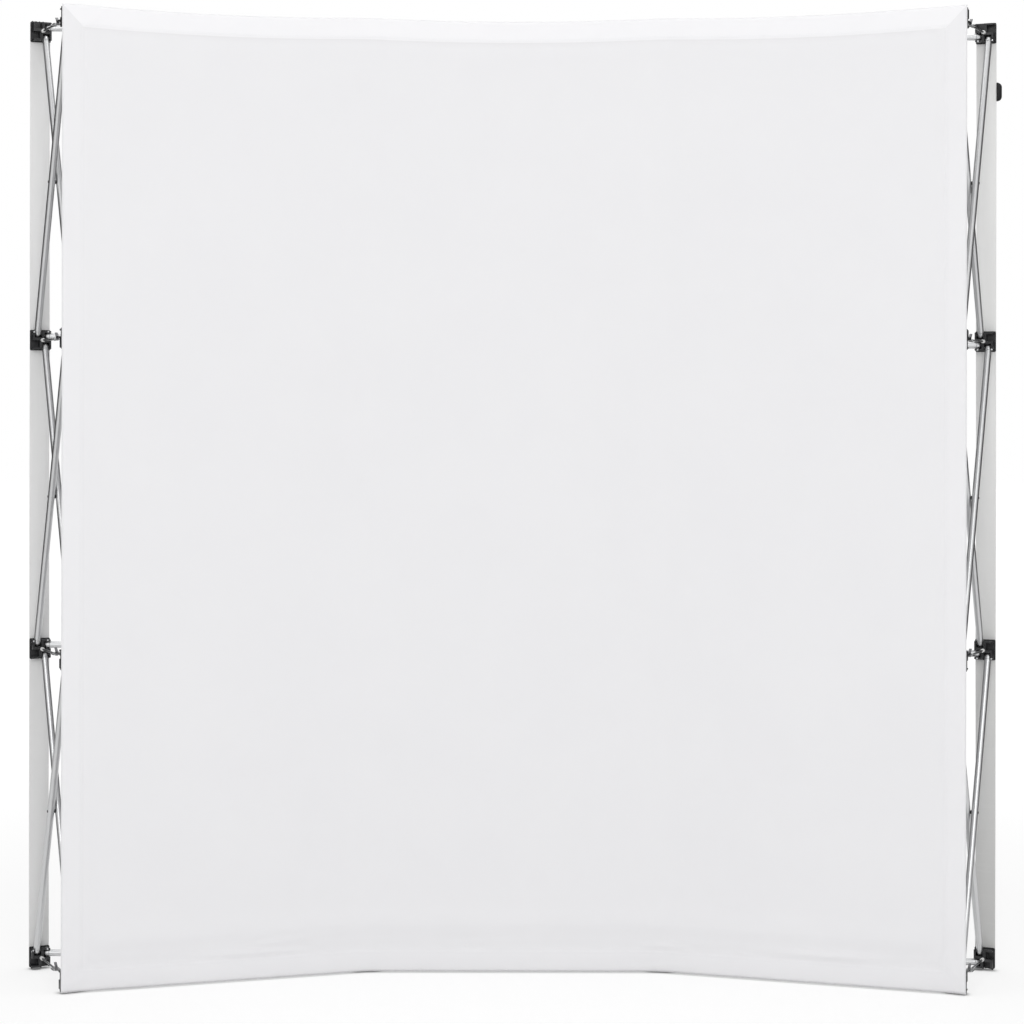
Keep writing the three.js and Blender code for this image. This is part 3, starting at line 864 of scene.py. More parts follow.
def make_foot_pegs():
    places = []
    middle = (PLATE_INNER + PLATE_OUTER) / 2
    for side, column, row in every_hub():
        if row:
            continue
        mirror = math.copysign(1, column_angle(column)) * (1 if side == "rear" else -1)
        for x in FOOT_PEG_SPOTS:
            spot = Matrix.Translation((mirror * x, middle, -PLATE_HALF - FOOT_HEIGHT))
            places.append(hub_place(side, column, row) @ spot)
    root = FOOT_HEIGHT + 0.0012
    profile = [(0, 0), (0.0013, 0), (0.0019, 0.0007), (PIN_RADIUS, root), (0, root)]
    placed_copies("foot_pegs", lathe(profile, 16), NYLON, places)


def make_hook_pads():
    outline = rounded_rectangle(HOOK_PAD / 2, HOOK_PAD / 2, 0.0025)
    for column, row, name in every_spot():
        shape = facing_y(PLATE_OUTER - GAP, PLATE_OUTER + HOOK_PAD_THICKNESS, outline)
        shape.transform(hub_place("front", column, row))
        piece(f"hook_pad_{name}", rounded_mesh(shape, 0.0004), [HOOK_TAPE])


# Tubes, from pivot pin to pivot pin.
def tube_shape(length):
    """A thin-walled tube along z with its ends lightly rolled in."""
    outer, inner, lip = TUBE_RADIUS, TUBE_RADIUS - TUBE_WALL, 0.0005
    low, high = TUBE_START, length - TUBE_START
    profile = [(inner, low + 0.004), (inner, low), (outer - lip, low), (outer, low + lip)]
    profile += [(outer, length / 4), (outer, length / 2), (outer, 3 * length / 4)]
    profile += [(outer, high - lip), (outer - lip, high), (inner, high), (inner, high - 0.004)]
    return lathe(profile, 32, closed=True)


def fitting_shape():
    """A tube's end fitting: a rounded nose round the pivot pin, a groove, a stub in the tube."""
    groove, bore = TUBE_RADIUS - 0.0005, TUBE_RADIUS - TUBE_WALL - 0.0001
    profile = [*FITTING_NOSE, (TUBE_RADIUS, 0), (TUBE_RADIUS, TUBE_START - 0.0009)]
    profile += [(groove, TUBE_START - 0.0005), (bore, TUBE_START - 0.0003)]
    profile += [(bore, TUBE_START + 0.008), (0, TUBE_START + 0.008)]
    return lathe(profile, 32)


def level_pin(place, radius, side, z):
    """A level tube's pin, in a bay's frame, beside the hub on that side of the bay."""
    x = side * (radius * math.sin(HALF_TURN) - PIVOT_REACH * math.cos(HALF_TURN))
    y = radius * math.cos(HALF_TURN) + PIVOT_REACH * math.sin(HALF_TURN)
    return place @ Vector((x, y, z))


def tube_runs():
    """Every tube as (name, node it stands for, its first pin, its last pin, pin axis)."""
    for row in range(ROWS - 1):
        for column in range(COLUMNS):
            place = on_curve(column_angle(column), FRONT_RADIUS, row_height(row))
            low, high = PIVOT_REACH, ROW_PITCH - PIVOT_REACH
            name = f"row{row + 1}_column{column + 1}"
            across = place.to_3x3() @ X_AXIS
            runs = (
                ("forward", (TUBE_OFFSET, FRAME_DEPTH, high), (TUBE_OFFSET, 0, low)),
                ("backward", (-TUBE_OFFSET, 0, high), (-TUBE_OFFSET, FRAME_DEPTH, low)),
            )
            for way, top, foot in runs:
                ends = place @ Vector(top), place @ Vector(foot)
                yield f"upright_tube_{name}_{way}", f"upright_tubes_{name}", *ends, across
    for row in range(ROWS):
        for bay in range(COLUMNS - 1):
            place = on_curve(column_angle(bay) + HALF_TURN, 0, row_height(row))
            name = f"row{row + 1}_bay{bay + 1}"
            centre = 0 < bay < COLUMNS - 2
            stands_for = f"centre_bay_row{row + 1}" if centre else f"level_tubes_{name}"
            runs = (
                ("upper", REAR_RADIUS, FRONT_RADIUS, TUBE_OFFSET),
                ("lower", FRONT_RADIUS, REAR_RADIUS, -TUBE_OFFSET),
            )
            for way, left, right, z in runs:
                ends = level_pin(place, left, -1, z), level_pin(place, right, 1, z)
                yield f"level_tube_{name}_{way}", stands_for, *ends, Z_AXIS


def make_tubes():
    runs = list(tube_runs())
    length = (runs[0][3] - runs[0][2]).length
    template = tube_shape(length)
    ends = []
    for name, stands_for, start, end, across in runs:
        place = aligned(start, end - start, across)
        piece(name, copied(template, place), [ALUMINIUM], nodes=[stands_for])
        ends += [place, aligned(end, start - end, across)]
    template.free()
    placed_copies("tube_end_fittings", fitting_shape(), ALUMINIUM, ends)
    make_rivets(runs)


def crossing(first, second, across):
    """The point half way between two tubes where they cross, seen along their common axis."""
    (a, a_end), (b, b_end) = first, second
    axis = across.normalized()
    run, other = a_end - a, b_end - b
    run_flat, other_flat = run - run.dot(axis) * axis, other - other.dot(axis) * axis
    apart = (b - a) - (b - a).dot(axis) * axis
    area = run_flat.cross(other_flat).dot(axis)
    on_first = a + run * (apart.cross(other_flat).dot(axis) / area)
    on_second = b + other * (apart.cross(run_flat).dot(axis) / area)
    return (on_first + on_second) / 2, axis, run_flat


def make_rivets(runs):
    """A rivet and a spacer where the two tubes of each pair cross."""
    heads, spacers = [], []
    for (_, _, *first, across), (_, _, *second, _) in zip(runs[0::2], runs[1::2]):
        middle, axis, sideways = crossing(first, second, across)
        outward = axis * (TUBE_OFFSET + TUBE_RADIUS)
        heads.append(aligned(middle + outward, axis, sideways))
        heads.append(aligned(middle - outward, -axis, sideways))
        spacers.append(aligned(middle, axis, sideways))
    dome = [(0, -0.0015), (0.0023, -0.0015), (0.0032, -0.0003), (0.0032, 0.0002)]
    dome += [(0.0024, 0.0010), (0.0010, 0.0013), (0, 0.0013)]
    placed_copies("rivet_heads", lathe(dome, 16), DARK_STEEL, heads)
    half = CROSSING_GAP / 2 + 0.0007
    washer = [(0, -half), (0.0040, -half), (0.0046, -half + 0.0005)]
    washer += [(0.0046, half - 0.0005), (0.0040, half), (0, half)]
    placed_copies("crossing_spacers", lathe(washer, 20), NYLON, spacers)


# Lock gear.
def make_catch_rods():
    """A bright rod on each rear hub, with a wire stirrup that the lock arm drops over."""
    bush = [(0, 0.0), (0.0043, 0.0), (0.0043, 0.0100), (0.0036, 0.0110), (0, 0.0110)]
    ferrule = [(0, 0.0), (0.0038, 0.0), (0.0038, 0.0044), (0.0030, 0.0054), (0, 0.0054)]
    bushes, ferrules = [], []
    bar_y = CATCH_REACH - FRAME_DEPTH
    wire = CATCH_BAR / 2
    side = STIRRUP_WIDTH / 2 - wire
    root = bar_y + STIRRUP_LENGTH - wire
    shoulder = root - 0.004
    loop = [(0, root, 0), (side, shoulder, 0), (side, bar_y, 0)]
    loop += [(-side, bar_y, 0), (-side, shoulder, 0)]
    rod = [(0, root + 0.001, 0), (0, -BLOCK_INWARD + 0.001, 0)]
    for column, row, name in every_spot():
        place = hub_place("rear", column, row)
        wire_piece(f"catch_rod_{name}", [rod], ROD_RADIUS, 0.001, place, GREY_STEEL)
        wire_piece(f"stirrup_{name}", [[*loop, loop[0]]], wire, 0.003, place, GREY_STEEL)
        bushes.append(place @ Matrix.Translation((0, -BLOCK_INWARD - 0.0006, 0)) @ FACING_IN)
        ferrules.append(place @ Matrix.Translation((0, root + 0.0035, 0)) @ FACING_IN)
    placed_copies("rod_bushes", lathe(bush, 20), WHITE_NYLON, bushes)
    placed_copies("rod_ferrules", lathe(ferrule, 20), GREY_STEEL, ferrules)


# This turns an outline's x, y to y, z.
ALONG_X = Matrix(((0, 0, 1, 0), (1, 0, 0, 0), (0, 1, 0, 0), (0, 0, 0, 1)))


def side_profile(outline, width, middle, holes=()):
    """An outline of (y, z) points, as thick as width, about x = middle."""
    return prism(outline, width, Matrix.Translation((middle - width / 2, 0, 0)) @ ALONG_X, holes)


def bracket_mesh():
    """Two moulded ears on a front hub's inner face, in the hub's frame."""
    root = -BLOCK_INWARD + 0.0008
    ear = [(root, ARM_EYE), *arc(-ARM_PIVOT, 0, ARM_EYE, 90, 270, 10), (root, -ARM_EYE)]
    middle = EAR_INNER + EAR_THICKNESS / 2
    ears = [side_profile(ear, EAR_THICKNESS, x) for x in (-middle, middle)]
    plan = rounded_rectangle(0.0078, 0.0066, 0.0015)
    foot = facing_y(-BLOCK_INWARD - 0.0012, -BLOCK_INWARD + GAP, plan)
    return rounded_mesh(merged(*ears, foot), 0.0004)


def arm_mesh():
    """A lock arm, in its column's front pivot frame with y towards the rear hub."""
    under = CATCH_BAR / 2 + GAP
    top = under + ARM_HEIGHT
    hook = CATCH_REACH + CATCH_BAR / 2 + GAP
    back = hook + HOOK_THICKNESS
    drop = -CATCH_BAR / 2 - HOOK_DROP
    straight = CATCH_REACH - 2 * ARM_HEIGHT
    outline = [
        *arc(ARM_PIVOT, 0, ARM_EYE, 100, 260, 12),
        (ARM_PIVOT + 0.012, -0.0030),
        (straight - 0.010, under - 0.0002),
        (straight, under),
        *arc(hook - 0.0008, under - 0.0008, 0.0008, 90, 0, 3),
        (hook, drop + 0.0016),
        *arc(hook + 0.0016, drop + 0.0014, 0.0014, 190, 300, 4),
        (back, drop + 0.0018),
        (back, top - 0.0012),
        *arc(back + FINGER_TAB - 0.0010, top + FINGER_TAB - 0.0006, 0.0011, -45, 135, 6),
        (back - 0.0030, top),
        (straight, top),
        (ARM_PIVOT + 0.014, 0.0042),
    ]
    eye = ring(ARM_PIVOT, 0, ARM_PIN_RADIUS + 0.0003, 16)
    return rounded_mesh(side_profile(outline, ARM_WIDTH, 0, [eye]), 0.0005)


def make_lock_arms():
    arm, bracket = arm_mesh(), bracket_mesh()
    half = EAR_INNER + EAR_THICKNESS + 0.0008
    pin = [(0, -half), (0.0022, -half), (0.0022, -half + 0.0006), (ARM_PIN_RADIUS, -half + 0.0008)]
    pin += [(ARM_PIN_RADIUS, half - 0.0004), (0, half)]
    pins = []
    for column, row, name in every_spot():
        place = on_curve(column_angle(column), FRONT_RADIUS, row_height(row))
        nodes = [f"lock_arm_{name}"]
        piece(f"arm_{name}", moved_mesh(arm, place), [DARK_STEEL], f"arm_{name}", nodes)
        mounted = moved_mesh(bracket, hub_place("front", column, row))
        piece(f"arm_bracket_{name}", mounted, [NYLON])
        pins.append(place @ Matrix.Translation((0, ARM_PIVOT, 0)) @ SIDEWAYS)
    placed_copies("arm_pins", lathe(pin, 16), BRIGHT_STEEL, pins)
    bpy.data.meshes.remove(arm)
    bpy.data.meshes.remove(bracket)


# Fabric. A place on the cloth is its distance from the left edge and its distance from the foot.
def cloth_corners():
    """The cloth's rear in plan, from its left edge: flat on each pad and straight between them."""
    corners = []
    for column in range(COLUMNS):
        place = on_curve(column_angle(column), FABRIC_RADIUS, 0)
        first = -FABRIC_OVERHANG if column == 0 else -HOOK_PAD / 2
        last = FABRIC_OVERHANG if column == COLUMNS - 1 else HOOK_PAD / 2
        corners += [place @ Vector((first, 0, 0)), place @ Vector((last, 0, 0))]
    return corners


CORNERS = cloth_corners()
REACHES = [0.0]
for before, after in zip(CORNERS, CORNERS[1:]):
    REACHES.append(REACHES[-1] + (after - before).length)
CLOTH_WIDTH = REACHES[-1]
CLOTH_HEIGHT = row_height(ROWS - 1) + PLATE_HALF + FABRIC_RISE - FABRIC_FLOOR_GAP
SOFT_BEND = 0.012  # the cloth turns each corner over this far either side
CLOTH_STEP = 0.0125  # between grid lines
FINE_STEP = 0.004  # between those beside the hem
# The top hem's paler colours: partly doubled cloth, partly painted light from above.
LIT_TOP_HEM = (0.912, 0.908, 0.924), (0.925, 0.921, 0.935)
KNIT = white_knit("white_knit", (0.848, 0.845, 0.858), (0.836, 0.833, 0.848))
HEM_KNIT = white_knit("white_knit_hem", (0.862, 0.859, 0.872), (0.850, 0.847, 0.862), LIT_TOP_HEM)


def on_line(along):
    """A point of the cloth's line in plan; past its ends the line runs on straight."""
    k = 1
    while k < len(REACHES) - 1 and along > REACHES[k]:
        k += 1
    share = (along - REACHES[k - 1]) / (REACHES[k] - REACHES[k - 1])
    return CORNERS[k - 1] + (CORNERS[k] - CORNERS[k - 1]) * share


def cloth_line(along):
    """The line's point with its corners softened, and the way off the cloth towards the viewer."""
    samples = [on_line(along + SOFT_BEND * k / 3) for k in range(-3, 4)]
    way = (samples[-1] - samples[0]).normalized()
    return sum(samples, Vector()) / len(samples), Vector((way.y, -way.x, 0))


def hem_sag(along):
    """How far the top hem hangs below the pads, most half way across a bay."""
    for k in (1, 3, 5):
        if REACHES[k] < along < REACHES[k + 1]:
            share = (along - REACHES[k]) / (REACHES[k + 1] - REACHES[k])
            return 4 * FABRIC_SAG * share * (1 - share)
    return 0.0


# Soft creases: along, up, half length, half width, degrees from level, height.
CREASES = (
    (0.50, 0.082, 0.060, 0.007, 4, 0.0011),
    (0.56, 0.066, 0.040, 0.006, -10, -0.0009),
    (0.44, 0.096, 0.045, 0.008, 14, 0.0008),
    (1.42, 0.014, 0.055, 0.006, 3, 0.0010),
    (1.50, 0.070, 0.050, 0.007, -6, 0.0007),
    (0.95, 0.078, 0.090, 0.008, 2, -0.0007),
    (0.060, 2.205, 0.022, 0.006, 40, 0.0012),
    (0.030, 2.185, 0.018, 0.005, 60, 0.0009),
    (2.05, 2.190, 0.025, 0.006, -45, 0.0009),
    (0.070, 0.075, 0.030, 0.007, -40, 0.0008),
    (2.04, 0.070, 0.030, 0.007, 42, 0.0009),
    (0.165, 1.150, 0.950, 0.030, 90, 0.0022),
    (1.960, 1.200, 0.900, 0.028, 90, 0.0020),
    (0.075, 1.100, 0.980, 0.012, 90, -0.0010),
    (0.450, 0.0610, 0.110, 0.0070, 0, 0.0042),
    (0.520, 0.0860, 0.060, 0.0080, 6, 0.0018),
    (1.420, 0.0610, 0.042, 0.0070, 0, 0.0034),
    (1.800, 0.0640, 0.115, 0.0090, 0, 0.0052),
    (0.738, 0.0220, 0.018, 0.0070, 95, 0.0012),
    (0.022, 0.0560, 0.022, 0.0045, 48, 0.0015),
    (0.026, 0.0200, 0.022, 0.0050, 30, 0.0013),
    (2.090, 0.0480, 0.024, 0.0050, -45, 0.0014),
)
BULGE = (0.112, 0.030, 0.0045)  # above the foot hem: height, half width, rise
TROUGH = (HEM_WIDTH + 0.010, 0.011, 0.0011)  # beside the hem: inset, half width, depth
STITCH_PULL = 0.00018
STITCH_PULL_HALF = 0.0009
SLACK = 0.0016  # height of the cloth's broad waves
FINE_SLACK = 0.00035


def ease(value, start, end):
    t = min(max((value - start) / (end - start), 0), 1)
    return t * t * (3 - 2 * t)


def cloth_relief(along, up, inset, puckered):
    """How far the cloth stands off its flat line: hem, pull of the stitching, creases, slack."""
    relief = HEM_STEP * ease(inset, HEM_WIDTH + HEM_SLOPE, HEM_WIDTH - HEM_SLOPE)
    place, half, depth = TROUGH
    relief -= depth * math.exp(-(((inset - place) / half) ** 2))
    for row in HEM_STITCH_INSETS:
        relief -= STITCH_PULL * math.exp(-(((inset - row) / STITCH_PULL_HALF) ** 2))
    for at, height, length, width, slant, rise in CREASES:
        if rise > 0 and not puckered:
            continue
        a = math.radians(slant)
        u = (along - at) * math.cos(a) + (up - height) * math.sin(a)
        v = (up - height) * math.cos(a) - (along - at) * math.sin(a)
        if abs(u) < 3 * length and abs(v) < 3 * width:
            relief += rise * math.exp(-((u / length) ** 2) - (v / width) ** 2)
    height, half, rise = BULGE
    relief += rise * math.exp(-(((up - height) / half) ** 2)) * ease(inset, HEM_WIDTH * 0.8, 0.12)
    slack = SLACK * ease(inset, 0.0, 0.06)
    relief += slack * noise.noise(Vector((along * 2.6, up * 1.9, 3.1)))
    return relief + FINE_SLACK * noise.noise(Vector((along * 16, up * 22, 7.7)))


def cloth_point(along, level, depth, puckered=True):
    """A point that far in front of the pads, at a level from the foot; tape isn't puckered."""
    flat, off = cloth_line(along)
    drop = hem_sag(along) * ease(level, HEM_WIDTH, CLOTH_HEIGHT - HEM_WIDTH)
    inset = min(along, CLOTH_WIDTH - along, level, CLOTH_HEIGHT - level)
    relief = cloth_relief(along, level, inset, puckered)
    return flat + off * (depth + relief) + Z_AXIS * (FABRIC_FLOOR_GAP + level - drop)


def grid_lines(length):
    """Distances across the cloth: close together over its hems, and wider between them."""
    near = [k * HEM_WIDTH / 8 for k in range(8)]
    near += [HEM_WIDTH - HEM_SLOPE, HEM_WIDTH + HEM_SLOPE]
    near += [HEM_WIDTH + HEM_SLOPE + k * FINE_STEP for k in range(1, 17)]
    steps = round((length - 2 * near[-1]) / CLOTH_STEP)
    middle = [near[-1] + (length - 2 * near[-1]) * k / steps for k in range(1, steps)]
    return near + middle + [length - d for d in reversed(near)]


def cloth_mesh(alongs, levels, depth, puckered=True):
    """A single layer of cloth over those lines, facing the viewer, with uv in metres."""
    rows = [[cloth_point(along, up, depth, puckered) for along in alongs] for up in levels]
    mesh = grid_mesh(rows)
    layer = mesh.uv_layers.new(name="UVMap")
    for loop in mesh.loops:
        j, i = divmod(loop.vertex_index, len(alongs))
        layer.data[loop.index].uv = (alongs[i], levels[j])
    return mesh


def thickened(obj, thickness):
    made = obj.modifiers.new("cloth_thickness", "SOLIDIFY")
    made.thickness = thickness
    made.offset = -1
    return obj


def even_lines(start, end, step):
    steps = max(1, math.ceil((end - start) / step))
    return [start + (end - start) * k / steps for k in range(steps + 1)]


def make_loop_tape():
    """Loop tape sewn behind the hem all round, and a patch behind each inner pad."""
    edge, inner, patch = 0.0012, 0.0478, 0.027
    skin = 0.00005  # left free on either side of the tape
    wide, high = CLOTH_WIDTH, CLOTH_HEIGHT
    spans = {
        "loop_tape_left": (edge, inner, edge, high - edge),
        "loop_tape_right": (wide - inner, wide - edge, edge, high - edge),
        "loop_tape_bottom": (inner + GAP, wide - inner - GAP, edge, inner),
        "loop_tape_top": (inner + GAP, wide - inner - GAP, high - inner, high - edge),
    }
    for column in (1, 2):
        centre = (REACHES[2 * column] + REACHES[2 * column + 1]) / 2
        for row in (1, 2):
            level = row_height(row) - FABRIC_FLOOR_GAP
            name = f"loop_patch_row{row + 1}_column{column + 1}"
            spans[name] = (centre - patch, centre + patch, level - patch, level + patch)
    made = []
    for name, (left, right, low, top) in spans.items():
        alongs, levels = even_lines(left, right, CLOTH_STEP), even_lines(low, top, CLOTH_STEP)
        mesh = cloth_mesh(alongs, levels, TAPE_THICKNESS - skin, puckered=False)
        made.append(thickened(piece(name, mesh, [LOOP_TAPE]), TAPE_THICKNESS - 2 * skin))
    return made


def make_stitches():
    """Two rows of stitches round the hem."""
    half, thick = 0.0013, 0.00024
    depth = TAPE_THICKNESS + FABRIC_THICKNESS + 0.00016
    stitch = lathe([(0, -half), (thick, -half * 0.55), (thick, half * 0.55), (0, half)], 5)
    stitch.transform(SIDEWAYS)
    source = piece("stitch_one", stitch, [THREAD])
    points, ways, edges = [], [], []
    for inset in HEM_STITCH_INSETS:
        first = len(points)
        right, top = CLOTH_WIDTH - inset, CLOTH_HEIGHT - inset
        alongs, levels = even_lines(inset, right, 0.02), even_lines(inset, top, 0.02)
        loop = [(along, inset) for along in alongs[:-1]] + [(right, up) for up in levels[:-1]]
        loop += [(along, top) for along in alongs[:0:-1]] + [(inset, up) for up in levels[:0:-1]]
        for along, up in loop:
            points.append(cloth_point(along, up, depth))
            ways.append(cloth_line(along)[1])
        count = len(loop)
        edges += [(first + k, first + (k + 1) % count) for k in range(count)]
    settings = {"Stitch": source, "Pitch": STITCH_PITCH, "Finish": THREAD}
    sewn = grown(SEWN, points_mesh(points, edges, off=ways), settings)
    bpy.data.objects.remove(source)
    return piece("hem_stitches", sewn, [THREAD])


def make_fabric():
    """The stretched face: one cloth with a doubled hem, its stitches and its loop tape."""
    alongs, levels = grid_lines(CLOTH_WIDTH), grid_lines(CLOTH_HEIGHT)
    mesh = cloth_mesh(alongs, levels, TAPE_THICKNESS + FABRIC_THICKNESS)
    face = piece("fabric_cloth", mesh, [KNIT, HEM_KNIT], nodes=["fabric_face"])
    wide = len(alongs) - 1
    for polygon in face.data.polygons:
        j, i = divmod(polygon.index, wide)
        along, level = (alongs[i] + alongs[i + 1]) / 2, (levels[j] + levels[j + 1]) / 2
        if min(along, CLOTH_WIDTH - along, level, CLOTH_HEIGHT - level) < HEM_WIDTH:
            polygon.material_index = 1
    thickened(face, FABRIC_THICKNESS)
    on_it = [*make_loop_tape(), make_stitches()]


# Strips behind the end columns, and the clip on the right-hand one.
STRIP_STEP = 0.014
STRIP_COLUMNS = 12
DRAWN_IN = 0.0006  # of the strip's width, half way between hubs
STRIP_WAVE = 0.0010
STRIP_CUP = 0.0011
CLIP_ROUNDING = 0.92  # of how far the clip stands out
CLIP_RIVET_RISE = 0.013


def strip_mesh(place, seed):
    """A thin flexible strip with slightly drawn-in edges and a soft wave between hubs."""
    inner = PLATE_OUTER + GAP
    low, high = row_height(0) - STRIP_END, row_height(ROWS - 1) + STRIP_END
    shares = [k / STRIP_COLUMNS - 0.5 for k in range(STRIP_COLUMNS + 1)]
    rows = []
    for z in even_lines(low, high, STRIP_STEP):
        bay = (z - row_height(0)) / ROW_PITCH
        lift = math.sin(math.pi * min(max(bay, 0), ROWS - 1)) ** 2
        width = STRIP_WIDTH - DRAWN_IN * lift
        row = []
        for share in shares:
            wave = STRIP_WAVE * lift * (1 + noise.noise(Vector((share * 1.5, z * 4, seed))))
            cup = STRIP_CUP * lift * (4 * share * share)
            row.append(place @ Vector((share * width, inner + wave + cup, z)))
        rows.append(row)
    return grid_mesh(rows)


def make_strips():
    ends = (("left", -END_ANGLE, 1.3, LEFT_PALE), ("right", END_ANGLE, 5.9, RIGHT_PALE))
    for name, angle, seed, finish in ends:
        mesh = strip_mesh(on_curve(angle, REAR_RADIUS, 0), seed)
        strip = piece(f"strip_{name}", mesh, [finish], nodes=[f"end_strip_{name}"])
        thickened(strip, STRIP_THICKNESS)
        bevelled(strip, 0.0005)


def clip_outline(edge, centre):
    """A D that starts inside the strip's edge and is rounded off outside it."""
    half = CLIP_HEIGHT / 2
    round_off = CLIP_RISE * CLIP_ROUNDING
    x = edge + CLIP_RISE - round_off
    outline = [(edge - CLIP_GRIP, centre - half), (x, centre - half)]
    outline += arc(x, centre - half + round_off, round_off, -90, 0, 10)
    outline += arc(x, centre + half - round_off, round_off, 0, 90, 10)
    return [*outline, (edge - CLIP_GRIP, centre + half)]


def make_clip():
    """A clip on the right-hand strip's outer edge, held by a cheek and two rivets behind it."""
    edge = STRIP_WIDTH / 2
    middle = PLATE_OUTER + GAP + STRIP_THICKNESS / 2
    rear = middle + CLIP_THICKNESS / 2
    centre = row_height(ROWS - 1) - CLIP_DROP
    body = facing_y(middle - CLIP_THICKNESS / 2, rear, clip_outline(edge, centre))
    cut_away = box_outline(edge - 0.02, edge + CLIP_CLEARANCE, centre - 0.05, centre + 0.05)
    tool = facing_y(middle - CLIP_THICKNESS, middle + STRIP_THICKNESS / 2 + GAP, cut_away)
    whole, cutter = new_object("clip", mesh_of(body)), new_object("cutter", mesh_of(tool))
    cut = whole.modifiers.new("slit", "BOOLEAN")
    cut.operation = "DIFFERENCE"
    cut.object = cutter
    cut.solver = "EXACT"
    mesh = evaluated_mesh(bevelled(whole, 0.0011, 3))
    bpy.data.objects.remove(cutter)
    place = on_curve(END_ANGLE, REAR_RADIUS, 0)
    mesh.transform(place)
    piece("clip", mesh, [CLIP_NYLON], nodes=["strip_clip"])
    cheek = place @ Matrix.Translation((edge - CLIP_GRIP / 2, rear, 0))
    facing_out = Matrix.Rotation(-math.pi / 2, 4, "X")
    levels = centre - CLIP_RIVET_RISE, centre + CLIP_RIVET_RISE
    spots = [cheek @ Matrix.Translation((0, 0, level)) @ facing_out for level in levels]
    dome = [(0, -0.0006), (0.0017, -0.0006), (0.0017, 0.0001), (0.0010, 0.0006), (0, 0.0006)]
    placed_copies("clip_rivets", lathe(dome, 16), DARK_STEEL, spots)


# The studio.
CAMERA_PLACE = (-0.07, -5.752, 1.372)
PHOTO_SIDE = 1024
FOCAL_PIXELS = 2431
HORIZON_PIXEL = 389.5  # rows from the top of the photograph
MIDDLE_PIXEL = 483.3  # columns from the left
CAMERA_ROLL = -0.0015
SENSOR = 36.0
AMBIENT = 0.588
FLOOR_REACH = 30
FLOOR_PAINT = 0.93
FLOOR_GLOW = 1.04
# Painted contact shadow reaches this far from anything near the floor.
CONTACT_REACH = 0.02  # the floor darkens where something is nearer than this
FLAG_PLACE = 3.2
FLAG_SPAN = (-1.2, 7.0, -0.5, 5.0)  # from y to y and from z to z


def card(name, corners, material):
    """One flat face of the studio."""
    mesh = drawn_mesh(corners, faces=[(0, 1, 2, 3)])
    mesh.materials.append(material)
    return new_object(name, mesh)


def make_camera():
    data = bpy.data.cameras.new("camera")
    data.sensor_width = SENSOR
    data.lens = FOCAL_PIXELS / PHOTO_SIDE * SENSOR
    data.shift_x = (PHOTO_SIDE / 2 - MIDDLE_PIXEL) / PHOTO_SIDE
    data.shift_y = (HORIZON_PIXEL - PHOTO_SIDE / 2) / PHOTO_SIDE
    camera = new_object("camera", data)
    camera.location = CAMERA_PLACE
    camera.rotation_euler = (math.pi / 2, CAMERA_ROLL, 0)
    bpy.context.scene.camera = camera


def seen_directly(tree):
    """1 for rays from the camera and those that gloss and glass send on, else 0."""
    rays = node(tree, "ShaderNodeLightPath").outputs
    seen = maths(tree, "MAXIMUM", rays["Is Camera Ray"], rays["Is Glossy Ray"])
    return maths(tree, "MAXIMUM", seen, rays["Is Transmission Ray"])


def make_world():
    world = bpy.data.worlds.new("studio")
    bpy.context.scene.world = world
    tree = empty_tree(world)
    strength = spread(tree, seen_directly(tree), AMBIENT, 1.0)
    light = node(tree, "ShaderNodeBackground", {"Color": (1, 1, 1, 1), "Strength": strength})
    node(tree, "ShaderNodeOutputWorld", {"Surface": light.outputs[0]})


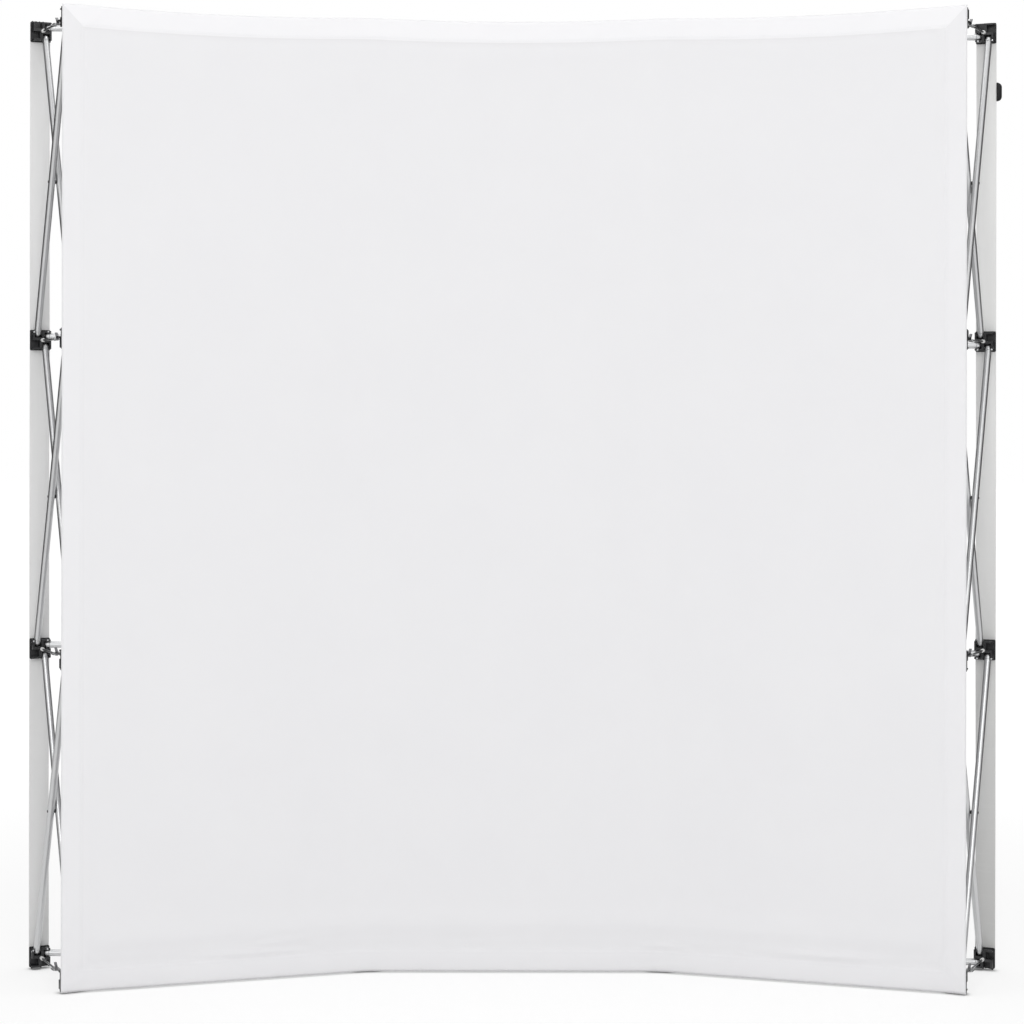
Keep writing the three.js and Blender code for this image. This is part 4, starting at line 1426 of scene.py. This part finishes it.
def floor_finish():
    """Pale floor: seen directly it is white, with some of the real shadow and a painted contact
    shadow where something is near.
    """
    material = bpy.data.materials.new("pale_floor")
    tree = empty_tree(material)
    # Painted contact shadow: ambient occlusion darkens the paint and the white glow near things.
    wires = {"Color": (FLOOR_PAINT, FLOOR_PAINT, FLOOR_PAINT, 1), "Distance": CONTACT_REACH}
    contact_shade = node(tree, "ShaderNodeAmbientOcclusion", wires, samples=16).outputs
    open_sky = spread(tree, contact_shade["AO"], 0.20, 1.0, 0.40, 0.90)
    paint = node(tree, "ShaderNodeBsdfDiffuse", {"Color": contact_shade["Color"]}).outputs[0]
    wires = {"Color": (1, 1, 1, 1), "Strength": maths(tree, "MULTIPLY", open_sky, FLOOR_GLOW)}
    white = node(tree, "ShaderNodeEmission", wires).outputs[0]
    wires = {0: object_coordinates(tree)}
    far = node(tree, "ShaderNodeVectorMath", wires, operation="LENGTH").outputs["Value"]
    share = spread(tree, far, 0.66, 1.0, 1.6, 3.4)
    seen = maths(tree, "MULTIPLY", share, seen_directly(tree))
    mixed = node(tree, "ShaderNodeMixShader", {0: seen, 1: paint, 2: white}).outputs[0]
    node(tree, "ShaderNodeOutputMaterial", {"Surface": mixed})
    return material


def make_floor():
    far = FLOOR_REACH
    corners = [(x, y, 0) for x, y in box_outline(-far, far, -far, far)]
    card("floor", corners, floor_finish())


def make_lamp(name, place, target, size, power):
    data = bpy.data.lights.new(name, "AREA")
    data.shape = "RECTANGLE"
    data.size, data.size_y = size
    data.energy = power
    lamp = new_object(name, data)
    lamp.location = place
    lamp.rotation_euler = (Vector(target) - Vector(place)).to_track_quat("-Z", "Y").to_euler()
    lamp.visible_camera = False


def make_lamps():
    make_lamp("front_softbox", (0, -5.2, 2.8), target=(0, 0, 1.2), size=(5.0, 2.6), power=98)
    make_lamp("overhead_softbox", (0, 0.3, 5.0), target=(0, 0, 0), size=(5.0, 4.0), power=83)


def make_flags():
    """A dark card at each side, seen in gloss alone: it darkens the bright tubes' edges."""
    material, _, _ = finish_of("dark_card", Roughness=1.0, Base_Color=(0.02, 0.02, 0.02, 1))
    for side in (-1, 1):
        corners = [(side * FLAG_PLACE, y, z) for y, z in box_outline(*FLAG_SPAN)]
        flag = card("flag_left" if side < 0 else "flag_right", corners, material)
        flag.visible_camera = flag.visible_diffuse = flag.visible_shadow = False
        flag.visible_transmission = flag.visible_volume_scatter = False


make_camera()
make_hubs()
make_pins()
make_foot_pegs()
make_hook_pads()
make_tubes()
make_catch_rods()
make_lock_arms()
make_fabric()
make_strips()
make_clip()
make_world()
make_floor()
make_lamps()
make_flags()
bpy.context.scene.view_settings.view_transform = "Standard"
